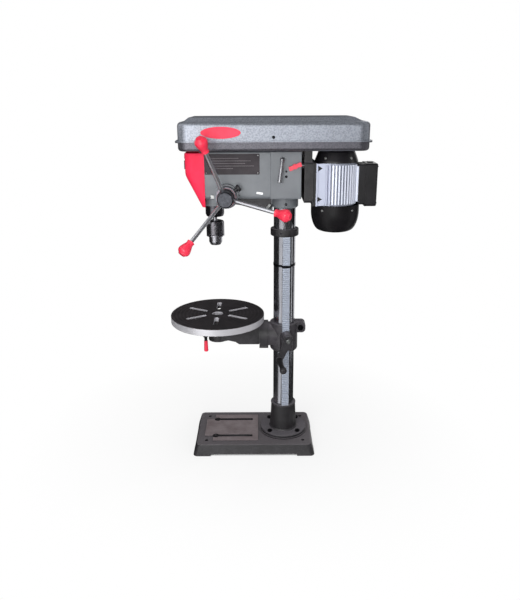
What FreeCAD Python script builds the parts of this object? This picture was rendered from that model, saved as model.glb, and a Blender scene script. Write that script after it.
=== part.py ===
"""Bench drill press, as a parametric FreeCAD document in millimetres.

Frame: the origin is the column's axis on the bench, +Z is up and +X points to the motor, so the
operator stands at -X. The feed handle and the table crank are on the -Y side.

Every driving size is a cell of the spreadsheet "size", and the helpers below bind sketches,
features, primitives and placements to expressions over those cells.
"""
import FreeCAD, Part
import Sketcher
import math
import os

V = FreeCAD.Vector
X, Y, Z = V(1, 0, 0), V(0, 1, 0), V(0, 0, 1)

doc = FreeCAD.newDocument("DrillPress")

# ------------------------------------------------------------------ driving dimensions
SIZES = {
    # base casting and column
    "base_back": 97, "base_length": 386, "base_width": 234, "base_height": 35,
    "base_corner": 15, "base_draft": 16.7, "base_plate": 8, "centre_foot": 18,
    "foot_length": 56, "foot_lift": 6, "hole_back": 61, "hole_spacing": 309, "hole_side": 78,
    "hole_radius": 5.5, "pad_radius": 77.5, "pad_height": 4, "work_pad_height": 2,
    "slot_side": 53, "slot_front": -231, "slot_back": -101, "slot_width": 13, "slot_entry": 11,
    "column_radius": 32.5, "column_wall": 4, "column_top": 878, "running_fit": 0.06,
    "flange_radius": 75, "flange_top": 47.5, "flange_bolt_circle": 126, "socket_foot": 43,
    "socket_lip": 38.5, "socket_top": 136,
    "collar_radius": 42, "collar_low": 689, "collar_high": 711,
    # rack, its pinion and the worm that lifts the table
    "rack_back": 32.8, "rack_width": 22, "rack_pitch_line": 39.8, "lift_module": 2,
    "lift_teeth": 12, "lift_pinion_z": 358, "worm_radius": 8, "worm_core": 6.2,
    "crank_azimuth": -83, "crank_z": 378, "crank_length": 66, "crank_lean": -24,
    "grip_radius": 9.5, "grip_near": 88, "grip_far": 170,
    # table, its arm and its bracket
    "table_radius": 145, "table_low": 418.5, "table_top": 440, "table_hole": 17,
    "table_spigot": 21.5, "slot_inner": 46, "slot_outer": 100, "table_slot_width": 14,
    "tilt_height": 372, "tilt_face": -49, "bracket_low": 322, "bracket_high": 413,
    "bracket_radius": 43, "ear_bolt_x": 51, "ear_bolt_z": 398, "lock_height": 392, "lock_x": -241,
    # head
    "spindle_x": -207, "feed_x": -168, "feed_z": 816, "head_low": 805, "head_high": 937,
    "head_front": -243, "head_back": 44, "head_half": 62, "boss_low": 773,
    "lever_x": -11, "lever_z": 916, "slide_lock_x": 25,
    "quill_radius": 27.5, "quill_low": 747.5, "quill_high": 930, "quill_housing": 37.5,
    "quill_housing_low": 781, "feed_module": 1.5, "feed_teeth": 18, "feed_pinion_width": 11,
    "spindle_radius": 8.5, "rod_side": 40, "rod_height": 897, "rod_radius": 8,
    # front cover
    "cover_front": -284.5, "cover_knee": 872, "cover_top": 934, "cover_toe": -239, "cover_low": 782,
    "cover_back": -229, "cover_half": 65.2, "stop_z": 920, "switch_low": 885.2,
    # chuck
    "chuck_radius": 26.5, "chuck_high": 734, "chuck_mid": 687, "chuck_low": 661,
    "sleeve_radius": 19.5, "jaw_tilt": 12, "jaw_radius": 3.8, "jaw_travel": 24,
    # feed handle
    "hub_radius": 22, "hub_face": 150, "spoke_radius": 5.5, "spoke_reach": 156,
    "spoke_angle": 109, "knob_side": 204, "knob_radius": 17, "depth_lock_angle": 36,
    # drive
    "idler_x": -60, "idler_pivot_x": -30, "idler_pivot_y": 46, "idler_pivot_low": 917,
    "motor_x": 148, "pulley_low": 955, "step_height": 14,
    "motor_radius": 58, "motor_low": 783, "motor_high": 903, "fin_reach": 64.5,
    "fan_cover_radius": 70.5, "fan_cover_low": 703, "shaft_radius": 8,
    "plate_front": 52, "plate_back": 76, "gland_x": 246, "gland_z": 810,
    # belt guard
    "guard_front": -297, "guard_back": 226.5, "guard_half": 112, "guard_corner": 30,
    "guard_low": 941, "seam": 966, "guard_high": 1029, "guard_skin": 2.5, "lip": 7.5,
}

size = doc.addObject("Spreadsheet::Sheet", "size")
for line, (alias, number) in enumerate(SIZES.items(), start=1):
    size.set(f"A{line}", alias)
    size.set(f"B{line}", str(number))
    size.setAlias(f"B{line}", alias)
doc.recompute()


# ------------------------------------------------------------------ helpers
def value(expression):
    """The number that an expression over the sheet gives, or the number itself."""
    if isinstance(expression, str):
        return float(size.evalExpression(expression))
    return float(expression)


def bind(thing, prop, expression):
    """Drive one property of an object from an expression, or set it from a plain number."""
    if isinstance(expression, str) or "." in prop:
        thing.setExpression(prop, str(expression))
    else:
        setattr(thing, prop, expression)


def place(thing, at=(0, 0, 0), axis=None, angle=0):
    """Put an object at a bound point, turned by an angle about an axis."""
    if axis is not None:
        thing.Placement = FreeCAD.Placement(V(0, 0, 0), FreeCAD.Rotation(axis, angle))
    for letter, expression in zip("xyz", at):
        if expression != 0:
            bind(thing, f"Placement.Base.{letter}", expression)
    return thing


def new_body(label, at=(0, 0, 0), axis=None, angle=0):
    """A PartDesign body with its own label and placement."""
    body = doc.addObject("PartDesign::Body", label)
    body.Label = label
    return place(body, at, axis, angle)


def sketch_on(body, plane, lift=0):
    """A sketch on one of the body's own origin planes, lifted along that plane's normal."""
    sketch = body.newObject("Sketcher::SketchObject", "Sketch")
    support = next(f for f in body.Origin.OriginFeatures if f.Role == plane)
    sketch.AttachmentSupport = [(support, "")]
    sketch.MapMode = "FlatFace"
    if lift != 0:
        bind(sketch, "AttachmentOffset.Base.z", lift)
    return sketch


def polygon(sketch, points):
    """Add a closed polygon whose every corner is dimensioned from the sketch's origin."""
    first = sketch.GeometryCount
    count = len(points)
    corners = [V(value(u), value(v), 0) for u, v in points]
    lines = [Part.LineSegment(corners[i], corners[(i + 1) % count]) for i in range(count)]
    sketch.addGeometry(lines, False)
    rules, bound = [], []
    for i, (u, v) in enumerate(points):
        rules.append(Sketcher.Constraint("Coincident", first + i, 2, first + (i + 1) % count, 1))
        for kind, expression in (("DistanceX", u), ("DistanceY", v)):
            if isinstance(expression, str):
                bound.append((sketch.ConstraintCount + len(rules), expression))
            rules.append(Sketcher.Constraint(kind, -1, 1, first + i, 1, value(expression)))
    sketch.addConstraint(rules)
    for number, expression in bound:
        sketch.setExpression(f"Constraints[{number}]", expression)
    return sketch


def rectangle(sketch, low, high):
    """Add a rectangle between two bound corners."""
    (u0, v0), (u1, v1) = low, high
    return polygon(sketch, [(u0, v0), (u1, v0), (u1, v1), (u0, v1)])


def circle(sketch, radius, at=(0, 0)):
    """Add a circle with a bound radius and centre."""
    number = sketch.addGeometry(Part.Circle(V(value(at[0]), value(at[1]), 0), Z, value(radius)))
    for kind, expression in (("DistanceX", at[0]), ("DistanceY", at[1])):
        rule = sketch.addConstraint(
            Sketcher.Constraint(kind, -1, 1, number, 3, value(expression)))
        if isinstance(expression, str):
            sketch.setExpression(f"Constraints[{rule}]", expression)
    rule = sketch.addConstraint(Sketcher.Constraint("Radius", number, value(radius)))
    if isinstance(radius, str):
        sketch.setExpression(f"Constraints[{rule}]", radius)
    return sketch


def feature(body, kind, sketch, length, both_ways=False, reverse=False, taper=0):
    """A Pad or Pocket of a sketch."""
    step = body.newObject(f"PartDesign::{kind}", kind)
    step.Profile = sketch
    if both_ways:
        step.SideType = "Symmetric"
    step.Reversed = reverse
    bind(step, "Length", length)
    if taper != 0:
        bind(step, "TaperAngle", taper)
    body.Tip = step
    return step


def pad(body, sketch, length, **options):
    return feature(body, "Pad", sketch, length, **options)


def pocket(body, sketch, length, **options):
    return feature(body, "Pocket", sketch, length, **options)


def turn_profile(body, points, kind="Revolution"):
    """Turn a closed half profile, given as (radius, height) corners, about the body's Z axis."""
    sketch = polygon(sketch_on(body, "XZ_Plane"), points)
    step = body.newObject(f"PartDesign::{kind}", kind)
    step.Profile = sketch
    step.ReferenceAxis = (sketch, ["V_Axis"])
    step.Angle = 360
    body.Tip = step
    return step


def turned(label, points, at=(0, 0, 0), axis=None, angle=0):
    """A sub-part turned on a lathe: one revolved profile."""
    body = new_body(label, at, axis, angle)
    turn_profile(body, points)
    return body


def round_pattern(body, steps, count):
    """Repeat features about the body's Z axis."""
    pattern = body.newObject("PartDesign::PolarPattern", "PolarPattern")
    pattern.Originals = steps
    upright = next(f for f in body.Origin.OriginFeatures if f.Role == "Z_Axis")
    pattern.Axis = (upright, [""])
    pattern.Angle = 360
    pattern.Occurrences = count
    body.Tip = pattern
    return pattern


def dress(body, kind, amount, wanted):
    """Fillet or chamfer the tip's edges that a test on the edge picks."""
    doc.recompute()
    base = body.Tip
    names = [f"Edge{i}" for i, edge in enumerate(base.Shape.Edges, start=1) if wanted(edge)]
    step = body.newObject(f"PartDesign::{kind}", kind)
    step.Base = (base, names)
    bind(step, "Radius" if kind == "Fillet" else "Size", amount)
    body.Tip = step
    return step


def upright(edge):
    """True for an edge that runs more up than sideways."""
    run = edge.Vertexes[-1].Point - edge.Vertexes[0].Point
    return run.Length > 1e-6 and abs(run.z) > 0.8 * run.Length


def level_at(height, slack=0.01):
    """A test for the edges that lie wholly at one height."""
    goal = value(height)

    def wanted(edge):
        box = edge.BoundBox
        return abs(box.ZMin - goal) < slack and abs(box.ZMax - goal) < slack
    return wanted


def cylinder(label, radius, height, at=(0, 0, 0), axis=None, angle=0):
    thing = doc.addObject("Part::Cylinder", label)
    thing.Label = label
    bind(thing, "Radius", radius)
    bind(thing, "Height", height)
    return place(thing, at, axis, angle)


def cone(label, low, high, height, at=(0, 0, 0), axis=None, angle=0):
    thing = doc.addObject("Part::Cone", label)
    thing.Label = label
    bind(thing, "Radius1", low)
    bind(thing, "Radius2", high)
    bind(thing, "Height", height)
    return place(thing, at, axis, angle)


def block(label, sides, at=(0, 0, 0), axis=None, angle=0):
    thing = doc.addObject("Part::Box", label)
    thing.Label = label
    for prop, side in zip(("Length", "Width", "Height"), sides):
        bind(thing, prop, side)
    return place(thing, at, axis, angle)


def prism(label, across_flats, height, at=(0, 0, 0), axis=None, angle=0):
    """A hexagonal prism, as on a bolt head."""
    thing = doc.addObject("Part::Prism", label)
    thing.Label = label
    thing.Polygon = 6
    thing.Circumradius = value(across_flats) / math.sqrt(3)
    bind(thing, "Height", height)
    return place(thing, at, axis, angle)


def join(label, things):
    fused = doc.addObject("Part::MultiFuse", label)
    fused.Label = label
    fused.Shapes = things
    return fused


def cut(label, base, tool):
    """Cut one tool, or a list of tools, from a base."""
    if isinstance(tool, list):
        tool = join(label + "_tools", tool)
    difference = doc.addObject("Part::Cut", label)
    difference.Label = label
    difference.Base = base
    difference.Tool = tool
    return difference


def rounded(label, base, amount, wanted):
    """Round the picked edges of a Part object."""
    doc.recompute()
    fillet = doc.addObject("Part::Fillet", label)
    fillet.Label = label
    fillet.Base = base
    numbers = [i for i, edge in enumerate(base.Shape.Edges, start=1) if wanted(edge)]
    fillet.Edges = [(i, value(amount), value(amount)) for i in numbers]
    return fillet


def shaped(label, shape):
    """A sub-part whose shape is worked out in code: gear teeth, belts and swept forms."""
    thing = doc.addObject("Part::Feature", label)
    thing.Label = label
    thing.Shape = shape
    return thing


def group(label, things):
    """Separate solids that share one node, such as a set of screws."""
    compound = doc.addObject("Part::Compound", label)
    compound.Label = label
    compound.Links = things
    return compound


SUB_PARTS = []


def keep(thing):
    """Register a finished sub-part for the final check and export."""
    SUB_PARTS.append(thing)
    return thing


# ------------------------------------------------------------------ gear teeth
def gear_outline(module, teeth, addendum, dedendum, backlash):
    """A closed involute outline about the origin, with one tooth pointing along +X."""
    pressure = math.radians(20)
    pitch_r = module * teeth / 2
    base_r = pitch_r * math.cos(pressure)
    half = math.pi / 2 / teeth - backlash / 2 / pitch_r

    def involute(angle):
        return math.tan(angle) - angle

    def half_angle(radius):
        if radius <= base_r:
            return half + involute(pressure)
        return half + involute(pressure) - involute(math.acos(base_r / radius))

    root_r, tip_r = pitch_r - dedendum, pitch_r + addendum
    start = max(root_r, base_r)
    flank = [root_r] + [start + (tip_r - start) * k / 4 for k in range(5)]
    points = []
    for tooth in range(teeth):
        centre = 2 * math.pi * tooth / teeth
        for side, radii in ((-1, flank), (1, reversed(flank))):
            for radius in radii:
                angle = centre + side * half_angle(radius)
                points.append(V(radius * math.cos(angle), radius * math.sin(angle), 0))
    return Part.makePolygon(points + points[:1])


def rack_outline(module, low, high, pitch_line, back, mesh_at, addendum, dedendum, backlash):
    """A rack's side outline in the XZ plane: teeth towards +X, a space centred at mesh_at."""
    pitch = math.pi * module
    lean = math.tan(math.radians(20))
    half = (pitch / 2 - backlash) / 2
    first = math.ceil((low - mesh_at) / pitch + 0.05)
    last = math.floor((high - mesh_at) / pitch - 0.05)
    root, tip = pitch_line - dedendum, pitch_line + addendum
    points = [V(back, 0, low), V(root, 0, low)]
    for number in range(first, last):
        middle = mesh_at + (number + 0.5) * pitch
        points.append(V(root, 0, middle - half - dedendum * lean))
        points.append(V(tip, 0, middle - half + addendum * lean))
        points.append(V(tip, 0, middle + half - addendum * lean))
        points.append(V(root, 0, middle + half + dedendum * lean))
    points += [V(root, 0, high), V(back, 0, high)]
    return Part.makePolygon(points + points[:1])


# ------------------------------------------------------------------ base and column
def make_base():
    """Cast base: a drafted plate on four feet, ribbed underneath, with a raised work pad."""
    body = new_body("base")
    front = "size.base_back - size.base_length"
    half = "size.base_width / 2"
    outline = rectangle(sketch_on(body, "XY_Plane"), (front, "-size.base_width / 2"),
                        ("size.base_back", half))
    pad(body, outline, "size.base_height", taper="-size.base_draft")
    dress(body, "Fillet", "size.base_corner", upright)
    dress(body, "Fillet", 3, level_at("size.base_height"))

    # the underside is open between ribs, so that no pocket is wide
    ribs = (-275, -194, -118, -42, 40, 88)
    for left, right in zip(ribs[:-1], ribs[1:]):
        for low, high in ((-100, -4), (4, 100)):
            well = rectangle(sketch_on(body, "XY_Plane"), (left + 4, low + 4),
                             (right - 4, high - 4))
            pocket(body, well, "size.base_height - size.base_plate", reverse=True)
    across = rectangle(sketch_on(body, "XZ_Plane"), (f"{front} + size.foot_length", -1),
                       ("size.base_back - size.foot_length", "size.foot_lift"))
    pocket(body, across, 300, both_ways=True)
    along = rectangle(sketch_on(body, "YZ_Plane"), (-60, -1), (60, "size.foot_lift"))
    pocket(body, along, 900, both_ways=True)

    # bosses give the corner bolts and the column's bolts something to hold
    bosses = sketch_on(body, "XY_Plane", "size.foot_lift")
    reach = "size.flange_bolt_circle / 2 * sqrt(0.5)"
    for x in ("size.hole_back", "size.hole_back - size.hole_spacing"):
        for side in ("", "-"):
            circle(bosses, 13, (x, f"{side}size.hole_side"))
    pad(body, bosses, "size.base_height - size.foot_lift - 2")
    # a round foot stands on the bench right under the column
    pad(body, circle(sketch_on(body, "XY_Plane"), "size.centre_foot"), "size.base_height - 2")
    column_bosses = sketch_on(body, "XY_Plane", 12)
    for sx in ("", "-"):
        for sy in ("", "-"):
            circle(column_bosses, 11, (f"{sx}{reach}", f"{sy}{reach}"))
    pad(body, column_bosses, "size.base_height - 14")

    pad(body, circle(sketch_on(body, "XY_Plane", "size.base_height - 1"), "size.pad_radius"),
        "size.pad_height + 1")
    work = polygon(sketch_on(body, "XY_Plane", "size.base_height - 1"), [
        (-256, -54), (-228, -54), (-228, -84), (-83, -84), (-83, 84), (-228, 84), (-228, 54),
        (-256, 54)])
    pad(body, work, "size.work_pad_height + 1")

    holes = sketch_on(body, "XY_Plane")
    for x in ("size.hole_back", "size.hole_back - size.hole_spacing"):
        for side in ("", "-"):
            circle(holes, "size.hole_radius", (x, f"{side}size.hole_side"))
    for sx in ("", "-"):
        for sy in ("", "-"):
            circle(holes, 5, (f"{sx}{reach}", f"{sy}{reach}"))
    pocket(body, holes, 60, reverse=True)

    slots = sketch_on(body, "XY_Plane")
    for side in ("", "-"):
        middle = f"{side}size.slot_side"
        rectangle(slots, ("size.slot_front + 4", f"{middle} - size.slot_width / 2"),
                  ("size.slot_back", f"{middle} + size.slot_width / 2"))
    pocket(body, slots, 60, reverse=True)
    entries = sketch_on(body, "XY_Plane")
    for side in ("", "-"):
        circle(entries, "size.slot_entry",
               ("size.slot_front + size.slot_entry", f"{side}size.slot_side"))
    pocket(body, entries, 60, reverse=True)
    return body


def make_column_support():
    """Flanged socket that holds the column upright, with four counterbored bolt holes."""
    body = new_body("column_support")
    low = "size.base_height + size.pad_height"
    bore = "size.column_radius + 0.05"
    turn_profile(body, [
        (bore, low), ("size.flange_radius", low), ("size.flange_radius", "size.flange_top - 2"),
        ("size.flange_radius - 2", "size.flange_top"), ("size.socket_foot + 3", "size.flange_top"),
        ("size.socket_foot", "size.flange_top + 4"),
        ("size.socket_lip + 0.4", "size.socket_top - 5"),
        ("size.socket_lip + 1.6", "size.socket_top - 4"),
        ("size.socket_lip + 1.6", "size.socket_top - 1"),
        ("size.socket_lip + 0.6", "size.socket_top"), (bore, "size.socket_top")])
    holes = sketch_on(body, "XY_Plane")
    reach = "size.flange_bolt_circle / 2 * sqrt(0.5)"
    for sx in ("", "-"):
        for sy in ("", "-"):
            circle(holes, 5.5, (f"{sx}{reach}", f"{sy}{reach}"))
    pocket(body, holes, 60, reverse=True)
    return body


def bolt(name, at, axis=None, angle=0, flats=15, head=6.5, shank=4.9, reach=22):
    """Hexagon bolt whose head sits on the point given and whose shank runs to local -Z."""
    crown = prism(name + "_crown", flats, head, at, axis, angle)
    rod = doc.addObject("Part::Cylinder", name + "_rod")
    rod.Radius = shank
    rod.Height = reach
    turn = FreeCAD.Rotation(axis, angle) if axis is not None else FreeCAD.Rotation()
    rod.Placement = FreeCAD.Placement(V(*[value(c) for c in at]) - turn.multVec(Z) * reach, turn)
    return join(name, [crown, rod])


def make_column_support_bolts():
    reach = value("size.flange_bolt_circle") / 2 * math.sqrt(0.5)
    bolts = []
    for number, (sx, sy) in enumerate(((1, 1), (1, -1), (-1, 1), (-1, -1)), start=1):
        bolts.append(bolt(f"flange_bolt_{number}", (sx * reach, sy * reach, "size.flange_top"),
                          flats=13, head=5, reach=20))
    return group("column_support_bolts", bolts)


def make_column():
    """Ground steel tube, standing in the support and reaching up into the head."""
    return turned("column", [
        ("size.column_radius - size.column_wall", "size.base_height + size.pad_height"),
        ("size.column_radius", "size.base_height + size.pad_height"),
        ("size.column_radius", "size.column_top - 1.5"),
        ("size.column_radius - 1.5", "size.column_top"),
        ("size.column_radius - size.column_wall", "size.column_top")])


def make_rack_collar():
    """Ring that traps the top of the rack, with rounded edges and a set screw hole."""
    body = new_body("rack_collar")
    turn_profile(body, [
        ("size.column_radius + 0.05", "size.collar_low"),
        ("size.collar_radius", "size.collar_low"), ("size.collar_radius", "size.collar_high"),
        ("size.column_radius + 0.05", "size.collar_high")])
    dress(body, "Fillet", 3, lambda edge: edge.BoundBox.XMax > 41 and edge.BoundBox.YMax > 41)
    hole = circle(sketch_on(body, "XZ_Plane"), 3, (-12, "size.collar_low + 11"))
    pocket(body, hole, 60, reverse=True)
    return body


def make_column_rack():
    """Toothed strip beside the column; it swings round the column with the table."""
    low, high = value("size.socket_top") + 0.4, value("size.collar_low") - 0.4
    outline = rack_outline(
        value("size.lift_module"), low, high, value("size.rack_pitch_line"),
        value("size.rack_back"), value("size.lift_pinion_z"), 1.5, 2.0, 0.25)
    width = value("size.rack_width")
    strip = Part.Face(outline).extrude(V(0, width, 0))
    strip.translate(V(0, -width / 2, 0))
    strip.rotate(V(0, 0, 0), Z, value("size.crank_azimuth"))
    return shaped("column_rack", strip)


def make_rack_band():
    """Flat band that keeps the rack against the column: a ring with a bulge over the teeth."""
    low, height, skin = 596, 7, 0.8
    azimuth = value("size.crank_azimuth")
    clear = value("size.rack_pitch_line") + 1.9
    side = value("size.rack_width") / 2 + 0.4
    inner = Part.makeCylinder(value("size.column_radius") + 0.3, height, V(0, 0, low))
    inner = inner.fuse(Part.makeBox(clear, 2 * side, height, V(0, -side, low)))
    outer = Part.makeCylinder(value("size.column_radius") + 0.3 + skin, height, V(0, 0, low))
    outer = outer.fuse(Part.makeBox(clear + skin, 2 * (side + skin), height,
                                    V(0, -side - skin, low)))
    band = outer.cut(inner)
    band.rotate(V(0, 0, 0), Z, azimuth)
    return shaped("rack_band", band)


# ------------------------------------------------------------------ table lift
CRANK_TURN = FreeCAD.Rotation(Z, value("size.crank_azimuth"))


def along_crank(label, shape):
    """Turn a shape that was made with the crank axis on +X to the crank's true azimuth."""
    shape.rotate(V(0, 0, 0), Z, value("size.crank_azimuth"))
    return shaped(label, shape)


def beside_crank(thing, at, axis=X, angle=0):
    """Place an object by a point and a turn given in the crank's frame, where +X is its axis."""
    point = V(*[value(c) for c in at])
    turn = CRANK_TURN.multiply(FreeCAD.Rotation(axis, angle))
    thing.Placement = FreeCAD.Placement(CRANK_TURN.multVec(point), turn)
    return thing


def reach_along_crank(edge):
    """How far an edge's nearest end lies along the crank's axis."""
    outward = CRANK_TURN.multVec(X)
    return min(vertex.Point.dot(outward) for vertex in edge.Vertexes)


def make_table_bracket():
    """Casting that clamps the column, carries the arm's tilt face and houses the lift gears."""
    worm_z = "size.crank_z"
    collar = cylinder("bracket_collar_blank", "size.bracket_radius",
                      "size.bracket_high - size.bracket_low", (0, 0, "size.bracket_low"))
    collar = rounded("bracket_collar", collar, 8, level_at("size.bracket_low"))
    face = cylinder("bracket_face", 38, "-size.tilt_face - 0.2",
                    ("size.tilt_face + 0.2", 0, "size.tilt_height"), Y, 90)
    ear = block("bracket_ear_blank", (37, 34, 34), (30, -17, "size.ear_bolt_z - 17"))
    ear = rounded("bracket_ear", ear, 12,
                  lambda e: e.BoundBox.XMin > 66.9 and e.BoundBox.YLength > 30)
    case = beside_crank(block("bracket_case_blank", (36, 37, 42)), (34, -18.5, 338))
    case = rounded("bracket_case", case, 8, lambda e: reach_along_crank(e) > 69.9)
    lug = beside_crank(cone("bracket_lug", 18.5, 16.5, 42), (34, 0, worm_z), Y, 90)
    blank = join("bracket_blank", [collar, face, ear, case, lug])

    bore = cylinder("bracket_bore", "size.column_radius + size.running_fit", 200, (0, 0, 300))
    slit = block("bracket_slit", (60, 2.5, 200), (26, -1.25, 300))
    clamp = cylinder("bracket_clamp_hole", 5.5, 80, ("size.ear_bolt_x", 40, "size.ear_bolt_z"),
                     X, 90)
    rack_way = beside_crank(block("bracket_rack_way", (44, 23.2, 200)), (0, -11.6, 300))
    gear_well = beside_crank(block("bracket_gear_well", (28.4, 14.4, 49.6)), (38, -7.2, 342.6))
    worm_well = beside_crank(cylinder("bracket_worm_well", 10.2, 30), (37.4, 0, worm_z), Y, 90)
    worm_hole = beside_crank(cylinder("bracket_worm_hole", 6.06, 50), (40, 0, worm_z), Y, 90)
    pin_hole = beside_crank(cylinder("bracket_pin_hole", 4.06, 33),
                            (51.8, 16.5, "size.lift_pinion_z"), X, 90)
    bolt_hole = cylinder("bracket_bolt_hole", 8, 14, (-50, 0, "size.tilt_height"), Y, 90)
    return cut("table_bracket", blank, [
        bore, slit, clamp, rack_way, gear_well, worm_well, worm_hole, pin_hole, bolt_hole])


def make_bracket_bolts():
    """The bolt that closes the split ear on the column, and the one that the arm tilts about."""
    clamp = bolt("bracket_clamp_bolt", ("size.ear_bolt_x", -17.2, "size.ear_bolt_z"), X, 90,
                 flats=16, head=7, shank=5, reach=42)
    height = value("size.tilt_height")
    shank = Part.makeCylinder(8, 48.4, V(-88.4, 0, height), X)
    washer = Part.makeCylinder(15, 2.2, V(-88.4, 0, height), X)
    rod = shaped("tilt_bolt_rod", shank.fuse(washer))
    crown = prism("tilt_bolt_crown", 24, 10, (-98.4, 0, "size.tilt_height"), Y, 90)
    return group("bracket_bolts", [clamp, join("tilt_bolt", [crown, rod])])


def make_lift_pinion():
    """Pinion between the worm above and the rack, on its own short axle."""
    outline = gear_outline(value("size.lift_module"), int(value("size.lift_teeth")),
                           1.4, 1.9, 0.25)
    width = 13
    gear = Part.Face(outline).extrude(V(0, 0, width))
    gear.translate(V(0, 0, -width / 2))
    axle = Part.makeCylinder(4, 31, V(0, 0, -15.5))
    gear = gear.fuse(axle)
    gear.rotate(V(0, 0, 0), X, -90)
    gear.translate(V(value("size.rack_pitch_line") + 12, 0, value("size.lift_pinion_z")))
    return along_crank("lift_pinion", gear)


def make_crank_worm_shaft():
    """Left-hand worm on the crank's shaft, with the bolt that holds the crank arm.

    One turn moves the rack by one tooth.
    """
    pitch = math.pi * value("size.lift_module")
    centre = value("size.rack_pitch_line") + value("size.lift_module * size.lift_teeth / 2")
    radius, core = value("size.worm_radius"), value("size.worm_core")
    lean = math.tan(math.radians(20))
    turns, half = 4, (pitch / 2 - 0.9) / 2
    helix = Part.makeLongHelix(pitch, pitch * turns, radius, 0, True)
    corners = []
    for r, side in ((core - 0.4, -1), (radius + 1.2, -1), (radius + 1.2, 1), (core - 0.4, 1)):
        corners.append(V(r, 0, side * (half + (radius - r) * lean)))
    profile = Part.makePolygon(corners + corners[:1])
    thread = Part.Wire(helix).makePipeShell([profile], True, True)
    # laid along X, the crest starts on the underside, half a pitch away from the pinion's tooth
    thread.rotate(V(0, 0, 0), Y, 90)
    thread.translate(V(centre - pitch * (turns / 2 + 0.5), 0, 0))
    engaged = Part.makeCylinder(12, 21.5, V(43.2, 0, 0), X)
    worm = Part.makeCylinder(core, 23, V(42.6, 0, 0), X)
    spindle = Part.makeCylinder(6, 21, V(65.4, 0, 0), X)
    washer = Part.makeCylinder(6.6, 1.5, V(86.4, 0, 0), X)
    bolt_head = Part.makeCylinder(5.5, 4.5, V(87.9, 0, 0), X)
    bolt_head = bolt_head.cut(Part.makeCylinder(2.6, 3, V(89.6, 0, 0), X))
    shaft = worm.fuse([thread.common(engaged), spindle, washer, bolt_head])
    shaft.translate(V(0, 0, value("size.crank_z")))
    return along_crank("crank_worm_shaft", shaft)


def hung_from_crank(shape):
    """Lean a shape that hangs straight below the crank's axis, and lift it to the axis."""
    shape.rotate(V(0, 0, 0), X, value("size.crank_lean"))
    shape.translate(V(0, 0, value("size.crank_z")))
    return shape


def make_crank_arm():
    """Cast crank arm with a round eye at each end and the grip's riveted pin."""
    length = value("size.crank_length")
    far = value("size.grip_far")
    eye = Part.makeCylinder(15.5, 9, V(77.4, 0, 0), X)
    tail = Part.makeCylinder(11, 7.4, V(80, 0, -length), X)
    side = Part.makePolygon([V(80, -13, 0), V(80, 13, 0), V(80, 9, -length), V(80, -9, -length),
                             V(80, -13, 0)])
    web = Part.Face(side).extrude(V(6.4, 0, 0))
    hole = Part.makeCylinder(6.02, 12, V(76, 0, 0), X)
    pin = Part.makeCylinder(3.5, far - 79.6, V(80, 0, -length), X)
    rivet = Part.makeCylinder(5, 2, V(far + 0.4, 0, -length), X)
    arm = eye.fuse([tail, web, pin, rivet]).cut(hole)
    return along_crank("crank_arm", hung_from_crank(arm))


def make_crank_grip():
    """Turned hand grip, slightly waisted, with rounded ends."""
    radius = value("size.grip_radius")
    low, high = value("size.grip_near"), value("size.grip_far")
    points = [V(low, 0, 3.56), V(low, 0, radius - 2), V(low + 2.5, 0, radius)]
    waist = [V(low + 22, 0, radius - 1), V(high - 20, 0, radius - 0.4),
             V(high - 5, 0, radius + 0.5)]
    curve = Part.BSplineCurve()
    curve.interpolate(points[2:] + waist + [V(high - 1.2, 0, radius - 1.5)])
    edges = [
        Part.makeLine(points[0], points[1]), Part.makeLine(points[1], points[2]), curve.toShape(),
        Part.makeLine(V(high - 1.2, 0, radius - 1.5), V(high, 0, radius - 4)),
        Part.makeLine(V(high, 0, radius - 4), V(high, 0, 3.56)),
        Part.makeLine(V(high, 0, 3.56), points[0])]
    grip = Part.Face(Part.Wire(edges)).revolve(V(0, 0, 0), X, 360)
    grip.translate(V(0, 0, -value("size.crank_length")))
    return along_crank("crank_grip", hung_from_crank(grip))


# ------------------------------------------------------------------ table
def make_table_arm():
    """Cast arm: a tilt ring against the bracket, an arched web and a split boss for the table."""
    boss_low, boss_high = 354, 418
    ring = cylinder("arm_ring", 43, 28, (-77, 0, "size.tilt_height"), Y, 90)
    ring_lug = block("arm_ring_lug", (28, 26, 20), (-77, -13, 327))
    boss = cylinder("arm_boss", 30, boss_high - boss_low, ("size.spindle_x", 0, boss_low))
    ear = block("arm_ear", (26, 44, 26), (-252, -22, 379))
    side = doc.addObject("Sketcher::SketchObject", "arm_side")
    polygon(side, [
        (-214, 356), (-190, 356), (-174, 359), (-152, 354), (-140, 346), (-79, 346), (-77, 348),
        (-77, 408), (-100, 410), (-180, 411), (-214, 411)])
    side.Placement = FreeCAD.Placement(V(0, 0, 0), FreeCAD.Rotation(X, 90))
    web = doc.addObject("Part::Extrusion", "arm_web")
    web.Base = side
    web.Dir = Y
    web.LengthFwd = 56
    web.Solid = True
    web.Symmetric = True
    blank = join("arm_blank", [ring, ring_lug, boss, ear, web])
    bore = cylinder("arm_bore", "size.table_spigot + size.running_fit", 100,
                    ("size.spindle_x", 0, 330))
    slit = block("arm_slit", (45, 2.5, 100), (-258, -1.25, 330))
    lock_hole = cylinder("arm_lock_hole", 5.06, 60, ("size.lock_x", 30, "size.lock_height"),
                         X, 90)
    tilt_hole = cylinder("arm_tilt_hole", 8.06, 60, (-100, 0, "size.tilt_height"), Y, 90)
    nut_room = block("arm_nut_room", (56, 40, 70), (-142, -20, 330))
    return cut("table_arm", blank, [bore, slit, lock_hole, tilt_hole, nut_room])


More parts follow.
